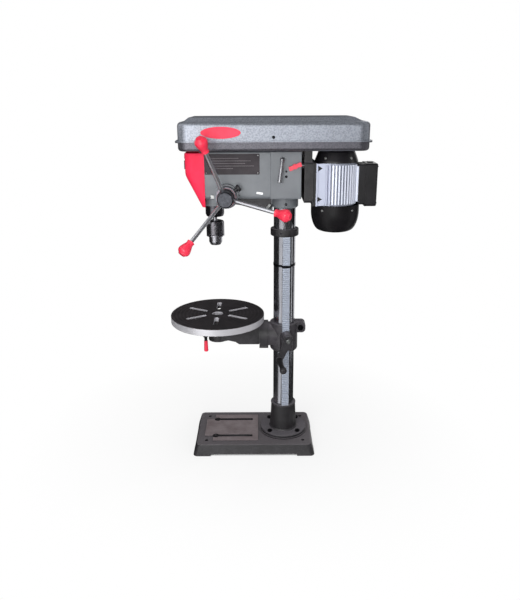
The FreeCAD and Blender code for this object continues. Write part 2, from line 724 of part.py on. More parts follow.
def make_table():
    """Round table with a machined rim, six radial slots and a hollow spigot underneath."""
    body = new_body("table", ("size.spindle_x", 0, 0), Z, 30)
    top, low = "size.table_top", "size.table_low"
    turn_profile(body, [
        ("size.table_hole", 357), ("size.table_spigot", 357), ("size.table_spigot", f"{low} - 0.2"),
        (30, f"{low} - 0.2"), (34, f"{top} - 12"), ("size.table_radius - 9", f"{top} - 12"),
        ("size.table_radius - 7", low), ("size.table_radius - 0.8", low),
        ("size.table_radius", f"{low} + 0.8"), ("size.table_radius", f"{top} - 1"),
        ("size.table_radius - 1", top), ("size.table_hole + 0.8", top),
        ("size.table_hole", f"{top} - 0.8")])
    # radial ribs under the plate, between the slots, and a thick bed about each slot
    rib = rectangle(sketch_on(body, "XY_Plane", f"{low} + 2"), (-3, 28),
                    (3, "size.table_radius - 8"))
    rib_pad = pad(body, rib, 8)
    bed = rectangle(sketch_on(body, "XY_Plane", f"{low} + 1"),
                    ("size.slot_inner - 14", -13), ("size.slot_outer + 13", 13))
    bed_pad = pad(body, bed, 9)
    round_pattern(body, [rib_pad, bed_pad], 6)
    slot = sketch_on(body, "XY_Plane")
    half = "size.table_slot_width / 2"
    rectangle(slot, ("size.slot_inner", f"-{half}"), ("size.slot_outer", half))
    cut_slot = pocket(body, slot, 500, reverse=True)
    ends = sketch_on(body, "XY_Plane")
    circle(ends, "size.table_slot_width / 2 - 0.001", ("size.slot_inner", 0))
    cut_inner = pocket(body, ends, 500, reverse=True)
    outer = sketch_on(body, "XY_Plane")
    circle(outer, "size.table_slot_width / 2 - 0.001", ("size.slot_outer", 0))
    cut_outer = pocket(body, outer, 500, reverse=True)
    round_pattern(body, [cut_slot, cut_inner, cut_outer], 6)
    return body


def make_table_lock_lever():
    """Bolt through the arm's split ear with a lever that hangs beside it."""
    x, z = value("size.lock_x"), value("size.lock_height")
    bolt_rod = Part.makeCylinder(5, 96, V(x, 28, z), -Y)
    nut = Part.makeCylinder(9, 5, V(x, 27.4, z), -Y)
    hub = Part.makeCylinder(8, 16, V(x, -52, z), -Y)
    arm = Part.makeCone(5, 4, 30, V(x, -60, z - 4), -Z)
    return shaped("table_lock_lever", bolt_rod.fuse(nut).fuse(hub).fuse(arm))


def make_table_lock_grip():
    """Plastic sleeve on the table lock lever."""
    x, z = value("size.lock_x"), value("size.lock_height")
    grip = Part.makeCone(5.5, 6.6, 36, V(x, -60, z - 19), -Z)
    grip = grip.makeFillet(3.5, [e for e in grip.Edges if e.BoundBox.ZMax < z - 54])
    core = Part.makeCone(5.05, 4.05, 30, V(x, -60, z - 4), -Z)
    return shaped("table_lock_grip", grip.cut(core))


# ------------------------------------------------------------------ head
# x, z, hole radius and the depth of the face that each set screw enters
HEAD_SCREWS = ((1, 868, 4, 62), (1, 882, 3, 62), (2, 786, 4, 39))


def make_head():
    """Head casting: bores for column, quill, feed shaft and slide rods, and a cored-out middle."""
    body = new_body("head_casting")
    main = rectangle(sketch_on(body, "XZ_Plane"), ("size.head_front", "size.head_low"),
                     ("size.head_back", "size.head_high"))
    pad(body, main, "2 * size.head_half", both_ways=True)
    dress(body, "Fillet", 9, lambda e: e.BoundBox.ZMax < 806 and e.BoundBox.XLength > 100)
    dress(body, "Fillet", 5, lambda e: e.BoundBox.ZMin > 936 and e.BoundBox.XLength > 100)
    column_part = rectangle(sketch_on(body, "XZ_Plane"), (-44, "size.head_low"),
                            (44, "size.head_high"))
    pad(body, column_part, "2 * size.head_half + 4", both_ways=True)
    dress(body, "Fillet", 2.5, lambda e: abs(abs(e.BoundBox.YMin) - 64) < 0.01
          and abs(e.BoundBox.YMax - e.BoundBox.YMin) < 0.01)
    spindle = "size.spindle_x"
    nose = circle(sketch_on(body, "XY_Plane", "size.quill_housing_low"), "size.quill_housing",
                  (spindle, 0))
    pad(body, nose, 40)
    boss = circle(sketch_on(body, "XY_Plane", "size.boss_low"), 39.5)
    pad(body, boss, 40)
    dress(body, "Chamfer", 4, level_at("size.boss_low"))
    dress(body, "Fillet", 1.5, level_at("size.quill_housing_low"))
    web = polygon(sketch_on(body, "XZ_Plane"), [
        (-172, 787), (-36, 765), (-36, "size.head_low + 2"), (-172, "size.head_low + 2")])
    pad(body, web, 26, both_ways=True)
    bearing_boss = circle(sketch_on(body, "XY_Plane", "size.head_high - 2"), 31, (spindle, 0))
    pad(body, bearing_boss, 17)
    feed_boss = circle(sketch_on(body, "XZ_Plane", 50), 34, ("size.feed_x", "size.feed_z"))
    pad(body, feed_boss, 35)
    spring_boss = circle(sketch_on(body, "XZ_Plane", -50), 24, ("size.feed_x", "size.feed_z"))
    pad(body, spring_boss, 16, reverse=True)

    column_bore = circle(sketch_on(body, "XY_Plane"), "size.column_radius + 0.05")
    pocket(body, column_bore, "size.column_top + 0.3", reverse=True)
    quill_bore = circle(sketch_on(body, "XY_Plane"), "size.quill_radius + size.running_fit",
                        (spindle, 0))
    pocket(body, quill_bore, "size.quill_high + 2", reverse=True)
    sleeve_way = circle(sketch_on(body, "XY_Plane"), 14, (spindle, 0))
    pocket(body, sleeve_way, 1200, reverse=True)
    bearing_seat = circle(sketch_on(body, "XY_Plane", "size.head_high + 1"), 20, (spindle, 0))
    pocket(body, bearing_seat, 30, reverse=True)
    shaft_bore = circle(sketch_on(body, "XZ_Plane", -9), 15, ("size.feed_x", "size.feed_z"))
    pocket(body, shaft_bore, 200, reverse=True)
    tail_bore = circle(sketch_on(body, "XZ_Plane"), "10 + size.running_fit / 2",
                       ("size.feed_x", "size.feed_z"))
    pocket(body, tail_bore, 200)
    rod_bores = sketch_on(body, "YZ_Plane", -40)
    for side in ("", "-"):
        circle(rod_bores, "size.rod_radius + size.running_fit",
               (f"{side}size.rod_side", "size.rod_height"))
    pocket(body, rod_bores, 200, reverse=True)
    # the lower front corners lean back under the cover, on either side of the quill housing
    for side in (40, -75):
        corner = polygon(sketch_on(body, "XZ_Plane", side), [
            ("size.head_front - 4", "size.head_low - 4"),
            ("size.head_front + 17", "size.head_low - 4"),
            ("size.head_front - 4", "size.head_low + 40")])
        pocket(body, corner, 35, reverse=True)
    brow = polygon(sketch_on(body, "XZ_Plane"), [
        ("size.head_front - 4", "size.head_low - 4"), ("size.head_front + 5", "size.head_low - 4"),
        ("size.head_front - 4", "size.head_low + 8")])
    pocket(body, brow, 82, both_ways=True)
    core = sketch_on(body, "XY_Plane", "size.head_low + 10")
    rectangle(core, (-150, -54), (-50, -4))
    rectangle(core, (-150, 4), (-50, 54))
    pocket(body, core, 200, reverse=True)
    pivot = circle(sketch_on(body, "XY_Plane", "size.head_high - 22"), 8.06,
                   ("size.idler_pivot_x", "size.idler_pivot_y"))
    pocket(body, pivot, 60, reverse=True)
    lever = circle(sketch_on(body, "XZ_Plane", 40), 5.06, ("size.lever_x", "size.lever_z"))
    pocket(body, lever, 60, reverse=True)
    knob = circle(sketch_on(body, "XZ_Plane", 48.6), 4.06,
                  ("size.slide_lock_x", "size.rod_height"))
    pocket(body, knob, 60, reverse=True)
    screws = sketch_on(body, "XZ_Plane", 34)
    for x, z, radius, face in HEAD_SCREWS:
        circle(screws, radius, (x, z))
    pocket(body, screws, 60, reverse=True)
    small = circle(sketch_on(body, "XZ_Plane", 56), 2.2, (-131, 815))
    pocket(body, small, 60, reverse=True)
    return body


def make_set_screws():
    """Socket screws that lock the head and the rack collar on the column."""
    screws = []
    for number, (x, z, hole, face) in enumerate(HEAD_SCREWS, start=1):
        radius = hole - 0.05
        rod = Part.makeCylinder(radius, face - 34.2, V(x, -34.2, z), -Y)
        socket = Part.makeCylinder(radius * 0.55, 6, V(x, -face - 1, z), Y)
        screws.append(shaped(f"head_screw_{number}", rod.cut(socket)))
    collar_z = value("size.collar_low") + 11
    screws.append(shaped("collar_screw", Part.makeCylinder(2.9, 6, V(-12, -33.6, collar_z), -Y)))
    return group("set_screws", screws)


def cover_form(label, inset):
    """The front cover's outer form, or the same form set in by its skin and open behind and below.

    Its front stands upright, then slopes back to the foot, with every front corner rounded.
    """
    front, knee, top = value("size.cover_front"), value("size.cover_knee"), value("size.cover_top")
    toe, low, back = value("size.cover_toe"), value("size.cover_low"), value("size.cover_back")
    lean = (front - toe) / (knee - low)
    shift = inset * math.hypot(1, lean)
    foot = low - (8 if inset else 0)
    rear = back + (8 if inset else 0)

    def slope(height):
        """Where the sloping front is at one height."""
        return toe + (height - low) * lean + shift

    body = new_body(label)
    outline = polygon(sketch_on(body, "XZ_Plane"), [
        (rear, foot), (slope(foot), foot), (front + inset, knee + (inset - shift) / lean),
        (front + inset, top - inset), (rear, top - inset)])
    pad(body, outline, 2 * (value("size.cover_half") - inset), both_ways=True)
    def at_knee(edge):
        box = edge.BoundBox
        return box.YLength > 100 and box.XMax < front + 4 and box.ZMax < knee + 8

    def beside_front(edge):
        box = edge.BoundBox
        return box.YLength < 0.01 and box.ZLength > 1 and box.XMax < rear - 1

    def round_top(edge):
        box = edge.BoundBox
        outside = box.XMax < back - 0.1 or box.YLength < 1
        return box.ZMin > top - 0.01 and box.XMin < front + 40 and outside

    dress(body, "Fillet", 40, at_knee)
    dress(body, "Fillet", 20 - inset, beside_front)
    if not inset:
        dress(body, "Fillet", 3, round_top)
    return body


def make_front_cover():
    """Moulded cover wrapped over the head's front, a thin shell open at the back and below."""
    outer = cover_form("cover_outside", 0)
    inner = cover_form("cover_inside", 2.6)
    window = block("cover_window", (14, 44, 27), (-292, -22, "size.switch_low - 1.2"))
    stop = cylinder("cover_stop_hole", 7.4, 14, (-292, 0, "size.stop_z"), Y, 90)
    quill_way = cylinder("cover_quill_way", "size.quill_housing + 0.4", 60,
                         ("size.spindle_x", 0, 765))
    head_way = block("cover_head_way", (30, 124.8, 30), ("size.head_front - 0.4", -62.4, 920))
    return cut("front_cover", outer, [inner, window, stop, quill_way, head_way])


def make_power_switch():
    """Rocker that stands a little proud of the cover."""
    block_shape = Part.makeBox(26, 41.6, 24.6, V(-290, -20.8, value("size.switch_low")))
    ends = [e for e in block_shape.Edges if e.BoundBox.XMax < -289.9]
    return shaped("power_switch", block_shape.makeFillet(2, ends))


def make_stop_button():
    """Round push button above the switch."""
    z = value("size.stop_z")
    stem = Part.makeCylinder(7, 18, V(-287, 0, z), X)
    cap = Part.makeCylinder(8.6, 3.4, V(-290.4, 0, z), X)
    cap = cap.makeFillet(1.2, [e for e in cap.Edges if e.BoundBox.XMax < -290.3])
    return shaped("stop_button", stem.fuse(cap))


def make_spec_plate():
    """Thin plate on the head's near side, in the place of its printed data."""
    sheet = Part.makeBox(154, 0.6, 57, V(-228, -62.6, 874.5))
    corners = [e for e in sheet.Edges if e.BoundBox.YLength > 0.5]
    return shaped("spec_plate", sheet.makeFillet(2, corners))


def make_depth_pointer():
    """Small plated block that points at the depth ring."""
    block_shape = Part.makeBox(9.6, 8, 9, V(-213, -70, 808.5))
    screw = Part.makeCylinder(2.6, 1.6, V(-207, -71.6, 813), Y)
    return shaped("depth_pointer", block_shape.fuse(screw))


def make_tension_lever():
    """Belt tension lever: a pivot boss and a rod that thickens to a flat, chamfered end."""
    top = V(value("size.lever_x"), -78, value("size.lever_z"))
    foot = top + V(-7.5, 0, -63)
    pivot = Part.makeCylinder(5, 40, V(top.x, -40.4, top.z), -Y)
    boss = Part.makeSphere(6.6, top)
    rod = Part.makeCone(4.4, 6.4, (foot - top).Length, top, foot - top)
    rod = rod.makeChamfer(1.4, [e for e in rod.Edges if e.BoundBox.ZMax < foot.z + 3])
    return shaped("tension_lever", pivot.fuse(boss).fuse(rod))


def make_slide_lock_knob():
    """Wing knob that locks the motor's slide rod."""
    at = V(value("size.slide_lock_x"), -64.6, value("size.rod_height"))
    hub = Part.makeCylinder(7.5, 11, at, -Y)
    tip, root, waist = 18.5, 7.0, 4.4
    upper = ((tip, -root + 2), (tip, root), (tip - 9, root), (waist, waist), (-waist, waist))
    outline = [V(side * x, 0, side * z) for side in (1, -1) for x, z in upper]
    wings = Part.Face(Part.makePolygon(outline + outline[:1])).extrude(V(0, -6, 0))
    wings = wings.makeFillet(1.8, [e for e in wings.Edges if e.BoundBox.YLength > 5.9])
    wings.rotate(V(0, 0, 0), Y, -18)
    wings.translate(at + V(0, -7, 0))
    screw = Part.makeCylinder(4, 15.4, V(at.x, -49.2, at.z), -Y)
    return shaped("slide_lock_knob", hub.fuse(wings).fuse(screw))


# ------------------------------------------------------------------ quill, spindle and chuck
def make_quill():
    """Quill tube with bearing seats at both ends and a rack cut into its motor side."""
    x, low, high = value("size.spindle_x"), value("size.quill_low"), value("size.quill_high")
    radius, feed_z = value("size.quill_radius"), value("size.feed_z")
    pitch_line = value("size.feed_x") - value("size.feed_module * size.feed_teeth / 2") - x
    profile = [
        V(14, 0, low), V(24.5, 0, low), V(radius, 0, low + 7.5), V(radius, 0, high - 1),
        V(radius - 1, 0, high), V(17.5, 0, high), V(17.5, 0, high - 11), V(11, 0, high - 11),
        V(11, 0, low + 14), V(20, 0, low + 14), V(20, 0, low + 2), V(14, 0, low + 2)]
    tube = Part.Face(Part.makePolygon(profile + profile[:1])).revolve(V(0, 0, 0), Z, 360)
    rack_low, rack_high = feed_z - 14, feed_z + 96
    root = pitch_line - 1.7
    tube = tube.cut(Part.makeBox(10, 12.4, rack_high - rack_low, V(root - 0.5, -6.2, rack_low)))
    outline = rack_outline(value("size.feed_module"), rack_low, rack_high, pitch_line, root - 0.7,
                           feed_z, 1.1, 1.7, 0.16)
    teeth = Part.Face(outline).extrude(V(0, 12.4, 0))
    teeth.translate(V(0, -6.2, 0))
    quill = tube.fuse(teeth).removeSplitter()
    quill.translate(V(x, 0, 0))
    return shaped("quill", quill)


def bearing(outer, inner, width, at):
    """Ball bearing as one ring, with the step between its races turned in both faces."""
    middle = (outer + inner) / 2
    groove = (outer - inner) * 0.17
    ring = Part.makeCylinder(outer, width, at).cut(Part.makeCylinder(inner, width, at))
    for lift in (0, width - 0.6):
        point = V(at.x, at.y, at.z + lift)
        step = Part.makeCylinder(middle + groove, 0.6, point)
        ring = ring.cut(step.cut(Part.makeCylinder(middle - groove, 0.6, point)))
    return ring


def make_quill_bearings():
    """Lower and upper spindle bearings, pressed into the quill."""
    x, low, high = value("size.spindle_x"), value("size.quill_low"), value("size.quill_high")
    radius = value("size.spindle_radius") + 0.03
    return shaped("quill_bearings", Part.makeCompound([
        bearing(19.98, radius, 12, V(x, 0, low + 2)),
        bearing(17.48, radius, 10, V(x, 0, high - 11))]))


def spline_teeth(root, tip, width, low, high, x):
    """Six straight ribs from a root radius out to a tip radius."""
    ribs = []
    for number in range(6):
        rib = Part.makeBox(tip - root + 1, width, high - low, V(root - 1, -width / 2, low))
        rib = rib.common(Part.makeCylinder(tip, high - low, V(0, 0, low)))
        rib.rotate(V(0, 0, 0), Z, 60 * number)
        rib.translate(V(x, 0, 0))
        ribs.append(rib)
    return ribs


def make_spindle():
    """Spindle: chuck taper below the quill, bearing seats, and a splined top end."""
    x, low, high = value("size.spindle_x"), value("size.quill_low"), value("size.quill_high")
    radius = value("size.spindle_radius")
    profile = [
        V(0, 0, 714), V(7.4, 0, 714), V(7.9, 0, 734), V(6.5, 0, 734.5), V(6.5, 0, low - 2),
        V(12, 0, low - 2), V(12, 0, low + 1.6), V(radius, 0, low + 1.6), V(radius, 0, high + 1),
        V(7, 0, high + 3), V(7, 0, 1003), V(6, 0, 1004), V(0, 0, 1004)]
    shaft = Part.Face(Part.makePolygon(profile + profile[:1])).revolve(V(0, 0, 0), Z, 360)
    shaft.translate(V(x, 0, 0))
    return shaped("spindle", shaft.fuse(spline_teeth(7, 8.4, 3, high + 6, 1002, x)))


def make_drive_sleeve():
    """Splined sleeve that the spindle slides in; it carries the spindle pulley."""
    x = value("size.spindle_x")
    profile = [
        V(9, 0, 938.5), V(12.44, 0, 938.5), V(12.44, 0, 950), V(14.5, 0, 950), V(14.5, 0, 954.5),
        V(12.44, 0, 954.5), V(12.44, 0, 1012), V(9, 0, 1012)]
    tube = Part.Face(Part.makePolygon(profile + profile[:1])).revolve(V(0, 0, 0), Z, 360)
    tube.translate(V(x, 0, 0))
    inner = []
    for rib in spline_teeth(7.3, 9.4, 2.6, 938.5, 1012, x):
        rib.rotate(V(x, 0, 0), Z, 30)
        inner.append(rib)
    hole = Part.makeCylinder(7.3, 80, V(x, 0, 935))
    return shaped("drive_sleeve", tube.fuse(inner).cut(hole))


def make_drive_sleeve_bearing():
    x = value("size.spindle_x")
    return shaped("drive_sleeve_bearing", bearing(19.98, 12.5, 12, V(x, 0, 938)))


def make_chuck_body():
    """Keyed drill chuck's body: a domed cylinder with key holes and a hollow for the jaws."""
    high, mid = value("size.chuck_high"), value("size.chuck_mid")
    radius, sleeve = value("size.chuck_radius"), value("size.sleeve_radius")
    profile = [
        V(0, 0, high), V(radius - 7, 0, high), V(radius - 2, 0, high - 2), V(radius, 0, high - 6),
        V(radius, 0, mid + 7), V(radius - 1, 0, mid + 6), V(sleeve - 3.4, 0, mid + 6),
        V(sleeve - 3.4, 0, 668), V(15, 0, 668), V(15, 0, mid + 12), V(0, 0, mid + 12)]
    body = Part.Face(Part.makePolygon(profile + profile[:1])).revolve(V(0, 0, 0), Z, 360)
    taper = Part.makeCone(7.4, 7.92, 20.6, V(0, 0, 713.8))
    body = body.cut(taper)
    for number in range(3):
        hole = Part.makeCylinder(3.6, 14, V(16.8, 0, mid + 11), X)
        hole.rotate(V(0, 0, 0), Z, 60 + 120 * number)
        body = body.cut(hole)
    body.translate(V(value("size.spindle_x"), 0, 0))
    return shaped("chuck_body", body)


def make_chuck_sleeve():
    """Toothed ring and nose sleeve: a key in the body turns it to move the jaws."""
    mid, low = value("size.chuck_mid"), value("size.chuck_low")
    radius, sleeve = value("size.chuck_radius"), value("size.sleeve_radius")
    profile = [
        V(sleeve - 3.2, 0, mid + 5.6), V(radius - 1.4, 0, mid + 5.6), V(radius, 0, mid + 4.6),
        V(radius, 0, mid + 0.8), V(radius - 0.8, 0, mid), V(sleeve, 0, mid), V(sleeve, 0, low + 9),
        V(sleeve - 4, 0, low + 1), V(sleeve - 5, 0, low), V(11.4, 0, low), V(11.4, 0, low + 4),
        V(sleeve - 3.2, 0, low + 6.6)]
    ring = Part.Face(Part.makePolygon(profile + profile[:1])).revolve(V(0, 0, 0), Z, 360)
    teeth = 24
    notch = Part.makeBox(6, 2.6, 2.4, V(radius - 4.6, -1.3, mid + 3.4))
    for number in range(teeth):
        gap = notch.copy()
        gap.rotate(V(0, 0, 0), Z, 360 * number / teeth)
        ring = ring.cut(gap)
    ring.translate(V(value("size.spindle_x"), 0, 0))
    return shaped("chuck_sleeve", ring)


def make_chuck_jaw(number):
    """One jaw: a sloping pin whose inner face would meet the spindle's axis when closed."""
    tilt = math.radians(value("size.jaw_tilt"))
    down = V(-math.sin(tilt), 0, -math.cos(tilt))
    low, travel = value("size.chuck_low"), value("size.jaw_travel")
    tip = V(value("size.jaw_radius") * 0.2, 0, low - 15)
    pin = Part.makeCylinder(value("size.jaw_radius"), 26, tip - down * 24, down)
    wedge = Part.makePolygon([V(0.25, 0, 600), V(40, 60, 600), V(40, -60, 600), V(0.25, 0, 600)])
    sector = Part.Face(wedge).extrude(V(0, 0, 120))
    floor = Part.makeBox(80, 80, 120, V(-40, -40, low - 14))
    jaw = pin.common(sector).common(floor)
    jaw.translate(down * -travel)
    jaw.rotate(V(0, 0, 0), Z, 120 * number)
    jaw.translate(V(value("size.spindle_x"), 0, 0))
    return shaped(f"chuck_jaw_{number + 1}", jaw)


# ------------------------------------------------------------------ feed handle
def make_feed_shaft():
    """Feed shaft with its pinion cut in the middle; it lies across the head."""
    outline = gear_outline(value("size.feed_module"), int(value("size.feed_teeth")),
                           1.2, 1.7, 0.16)
    width = value("size.feed_pinion_width")
    gear = Part.Face(outline).extrude(V(0, 0, width))
    gear.translate(V(0, 0, -width / 2))
    # the local +Z end points to the operator's side
    shaft = gear.fuse([
        Part.makeCylinder(10.4, 12, V(0, 0, 5)), Part.makeCylinder(14.94, 88, V(0, 0, 15)),
        Part.makeCylinder(10, 46, V(0, 0, 102)), Part.makeCylinder(10.0, 68, V(0, 0, -72))])
    slot = Part.makeBox(24, 1.6, 6, V(-12, -0.8, -73))
    shaft = shaft.cut(slot)
    shaft.rotate(V(0, 0, 0), X, 90)
    # turned half a turn, so that a tooth points at the quill
    shaft.rotate(V(0, 0, 0), Y, 180)
    shaft.translate(V(value("size.feed_x"), 0, value("size.feed_z")))
    return shaped("feed_shaft", shaft)


def across_head(label, shape):
    """Move a shape made about the Z axis, with +Z outwards, on to the feed shaft's axis."""
    shape.rotate(V(0, 0, 0), X, 90)
    shape.translate(V(value("size.feed_x"), 0, value("size.feed_z")))
    return shaped(label, shape)


def spoke_line(number):
    """Inner point, knob point and direction of one spoke, in the hub's own frame (+Z outwards)."""
    turn = math.radians(value("size.spoke_angle") + 120 * number)
    outward = V(math.cos(turn), math.sin(turn), 0)
    inner = outward * 9 + Z * 124
    knob = outward * value("size.spoke_reach") + Z * value("size.knob_side")
    return inner, knob, (knob - inner).normalize()


def make_feed_hub():
    """Turned hub with three sloping sockets for the spokes."""
    radius, face = value("size.hub_radius"), value("size.hub_face")
    socket = value("size.spoke_radius") + 0.02
    profile = [V(10.03, 0, 103.6), V(24, 0, 103.6), V(24, 0, 108), V(radius, 0, 110),
               V(radius, 0, face - 3), V(radius - 3, 0, face), V(0, 0, face), V(0, 0, 148.2),
               V(10.03, 0, 148.2)]
    hub = Part.Face(Part.makePolygon(profile + profile[:1])).revolve(V(0, 0, 0), Z, 360)
    for number in range(3):
        inner, _, along = spoke_line(number)
        hub = hub.cut(Part.makeCylinder(socket, 40, inner + along * 3, along))
    hub = hub.cut(Part.makeCylinder(6, 2, V(0, 0, face - 1.6)))
    return across_head("feed_hub", hub)


def make_feed_spokes():
    """Three bright rods screwed into the hub."""
    radius = value("size.spoke_radius")
    rods = []
    for number in range(3):
        inner, knob, along = spoke_line(number)
        rods.append(Part.makeCylinder(radius, (knob - inner).Length - 3, inner + along * 4, along))
    return across_head("feed_spokes", Part.makeCompound(rods))


def knob_profile(radius):
    """Half outline of a mushroom knob: a waisted neck that swells into a round end."""
    neck, end = 10.0, 24.0
    socket, foot, stop = 5.54, -20, 3.2
    curve = Part.BSplineCurve()
    curve.interpolate([
        V(neck + 0.6, 0, foot), V(neck - 0.2, 0, -14), V(neck + 2.2, 0, -6), V(radius - 1.2, 0, 4),
        V(radius, 0, 10), V(radius - 1.6, 0, 17), V(radius - 7, 0, end - 1.4), V(0.01, 0, end)],
        InitialTangent=V(-0.1, 0, 1), FinalTangent=V(-1, 0, 0))
    corners = [V(0.01, 0, end), V(0, 0, end), V(0, 0, stop), V(socket, 0, stop),
               V(socket, 0, foot), V(neck + 0.6, 0, foot)]
    edges = [curve.toShape()] + [Part.makeLine(a, b) for a, b in zip(corners, corners[1:])]
    return Part.Face(Part.Wire(edges))


def make_feed_knobs():
    """Three mushroom knobs on the spokes' ends."""
    knobs = []
    for number in range(3):
        _, knob, along = spoke_line(number)
        shape = knob_profile(value("size.knob_radius")).revolve(V(0, 0, 0), Z, 360)
        shape.Placement = FreeCAD.Placement(knob, FreeCAD.Rotation(Z, along))
        knobs.append(shape)
    return across_head("feed_knobs", Part.makeCompound(knobs))


def depth_lock_line():
    """Start and direction of the depth ring's lock screw, in the hub's own frame (+Z outwards)."""
    turn = math.radians(value("size.depth_lock_angle"))
    return V(0, 0, 94), V(math.cos(turn), math.sin(turn), 0)


def make_depth_ring():
    """Depth-stop ring that turns on the feed shaft, with a hole for its lock screw."""
    ring = Part.makeCylinder(30, 17, V(0, 0, 85.6)).cut(Part.makeCylinder(15, 20, V(0, 0, 84)))
    ring = ring.makeFillet(1.2, [e for e in ring.Edges if abs(e.BoundBox.XMax - 30) < 0.01
                                 and e.BoundBox.ZLength < 0.01])
    start, out = depth_lock_line()
    return across_head("depth_ring", ring.cut(Part.makeCylinder(3.03, 30, start, out)))


def make_depth_lock_knob():
    """Radial screw with a short neck and a flat round head, which locks the depth ring."""
    start, out = depth_lock_line()
    screw = Part.makeCylinder(3, 22, start + out * 15.4, out)
    neck = Part.makeCylinder(5, 9, start + out * 31, out)
    knob = Part.makeCylinder(10, 8, start + out * 39, out)
    knob = knob.makeFillet(2, [e for e in knob.Edges if len(e.Vertexes) == 1])
    return across_head("depth_lock_knob", screw.fuse([neck, knob]))


def make_return_spring_housing():
    """Pressed cap over the quill return spring, on the far end of the feed shaft."""
    cap = Part.makeCylinder(31, 20, V(0, 0, 66.2))
    cap = cap.makeFillet(3, [e for e in cap.Edges if e.BoundBox.ZMin > 86])
    room = Part.makeCylinder(28.8, 17.6, V(0, 0, 66))
    hole = Part.makeCylinder(11, 30, V(0, 0, 70))
    cap = cap.cut(room).cut(hole)
    cap.rotate(V(0, 0, 0), X, -90)
    cap.translate(V(value("size.feed_x"), 0, value("size.feed_z")))
    return shaped("return_spring_housing", cap)


def make_return_spring():
    """Flat spiral spring between the shaft's slot and the housing."""
    turns, start, gap, skin, wide = 4, 11.4, 3.9, 0.6, 10
    points = []
    steps = 12
    for k in range(turns * steps + 1):
        angle = 2 * math.pi * k / steps
        radius = start + gap * k / steps
        points.append(V(radius * math.cos(angle), radius * math.sin(angle), 0))
    ribbon_points = []
    for sign, order in ((1, range(len(points))), (-1, reversed(range(len(points))))):
        side = []
        for k in order:
            outward = V(points[k].x, points[k].y, 0).normalize()
            side.append(points[k] + outward * (sign * skin / 2))
        edge = Part.BSplineCurve()
        edge.interpolate(side)
        ribbon_points.append((edge, side))
    (outer, outer_side), (inner_edge, inner_side) = ribbon_points
    wire = Part.Wire([
        outer.toShape(), Part.makeLine(outer_side[-1], inner_side[0]), inner_edge.toShape(),
        Part.makeLine(inner_side[-1], outer_side[0])])
    spring = Part.Face(wire).extrude(V(0, 0, wide))
    spring.translate(V(0, 0, 68.5))
    spring.rotate(V(0, 0, 0), X, -90)
    spring.translate(V(value("size.feed_x"), 0, value("size.feed_z")))
    return shaped("return_spring", spring)


# ------------------------------------------------------------------ belt drive
SPINDLE_STEPS = (58, 50, 42, 34)
IDLER_STEPS = (36, 44, 52, 60)
MOTOR_STEPS = (46, 38, 30, 22)
BELT_DEPTH, BELT_TOP, BELT_BOTTOM = 6.0, 4.2, 3.0


def step_pulley(label, steps, bore, x):
    """Four-step V pulley on a vertical axis, with its largest or smallest step lowest."""
    low, rise = value("size.pulley_low"), value("size.step_height")
    points = [V(bore, 0, low)]
    for number, radius in enumerate(steps):
        foot = low + number * rise
        points += [V(radius, 0, foot), V(radius, 0, foot + 1.6),
                   V(radius - 8, 0, foot + rise / 2 - 3.4), V(radius - 8, 0, foot + rise / 2 + 3.4),
                   V(radius, 0, foot + rise - 1.6), V(radius, 0, foot + rise)]
    top = low + len(steps) * rise
    points.append(V(bore, 0, top))
    pulley = Part.Face(Part.makePolygon(points + points[:1])).revolve(V(0, 0, 0), Z, 360)
    pulley.translate(V(x, 0, 0))
    return shaped(label, pulley)


def belt_loop(x0, r0, x1, r1, level):
    """V belt round two steps at one level, lying just inside both grooves."""
    z = value("size.pulley_low") + (level + 0.5) * value("size.step_height")
    middle = 1 + BELT_DEPTH / 2
    a, b = r0 - middle, r1 - middle
    lean = math.asin((a - b) / (x1 - x0))
    near, far = V(math.sin(lean), -math.cos(lean), 0), V(math.sin(lean), math.cos(lean), 0)
    left, right = V(x0, 0, z), V(x1, 0, z)
    run = (right + near * b) - (left + near * a)
    start = left + near * a + run * 0.5
    path = Part.Wire([
        Part.makeLine(start, right + near * b),
        Part.Arc(right + near * b, right + X * b, right + far * b).toShape(),
        Part.makeLine(right + far * b, left + far * a),
        Part.Arc(left + far * a, left - X * a, left + near * a).toShape(),
        Part.makeLine(left + near * a, start)])
    section = ((-1, -BELT_BOTTOM), (1, -BELT_TOP), (1, BELT_TOP), (-1, BELT_BOTTOM))
    corners = [start + near * (side * BELT_DEPTH / 2) + Z * half for side, half in section]
    profile = Part.makePolygon(corners + corners[:1])
    return path.makePipeShell([profile], True, False)


def make_drive_belts():
    """Two belts: spindle to middle pulley on one level, middle to motor pulley on another."""
    spindle, idler, motor = (value(f"size.{name}_x") for name in ("spindle", "idler", "motor"))
    front = belt_loop(spindle, SPINDLE_STEPS[2], idler, IDLER_STEPS[2], 2)
    rear = belt_loop(idler, IDLER_STEPS[1], motor, MOTOR_STEPS[1], 1)
    return shaped("drive_belts", Part.makeCompound([front, rear]))


def make_idler_arm():
    """Swing arm for the middle pulley, with a pivot pin below and the pulley's pin above."""
    x = value("size.idler_x")
    pivot = V(value("size.idler_pivot_x"), value("size.idler_pivot_y"), 0)
    axle = V(x, 0, 0)
    low, foot = value("size.guard_low") + 3.4, value("size.idler_pivot_low")
    plate = Part.makeCylinder(13, 8, V(pivot.x, pivot.y, low)).fuse(
        Part.makeCylinder(12, 8, V(axle.x, axle.y, low)))
    span = axle - pivot
    bar = Part.makeBox(span.Length, 18, 8, V(0, -9, 0))
    bar.rotate(V(0, 0, 0), Z, math.degrees(math.atan2(span.y, span.x)))
    bar.translate(V(pivot.x, pivot.y, low))
    pin = Part.makeCylinder(8, low - foot, V(pivot.x, pivot.y, foot))
    post = Part.makeCylinder(7.94, 1012 - low, V(axle.x, axle.y, low))
    return shaped("idler_arm", plate.fuse(bar).fuse(pin).fuse(post))


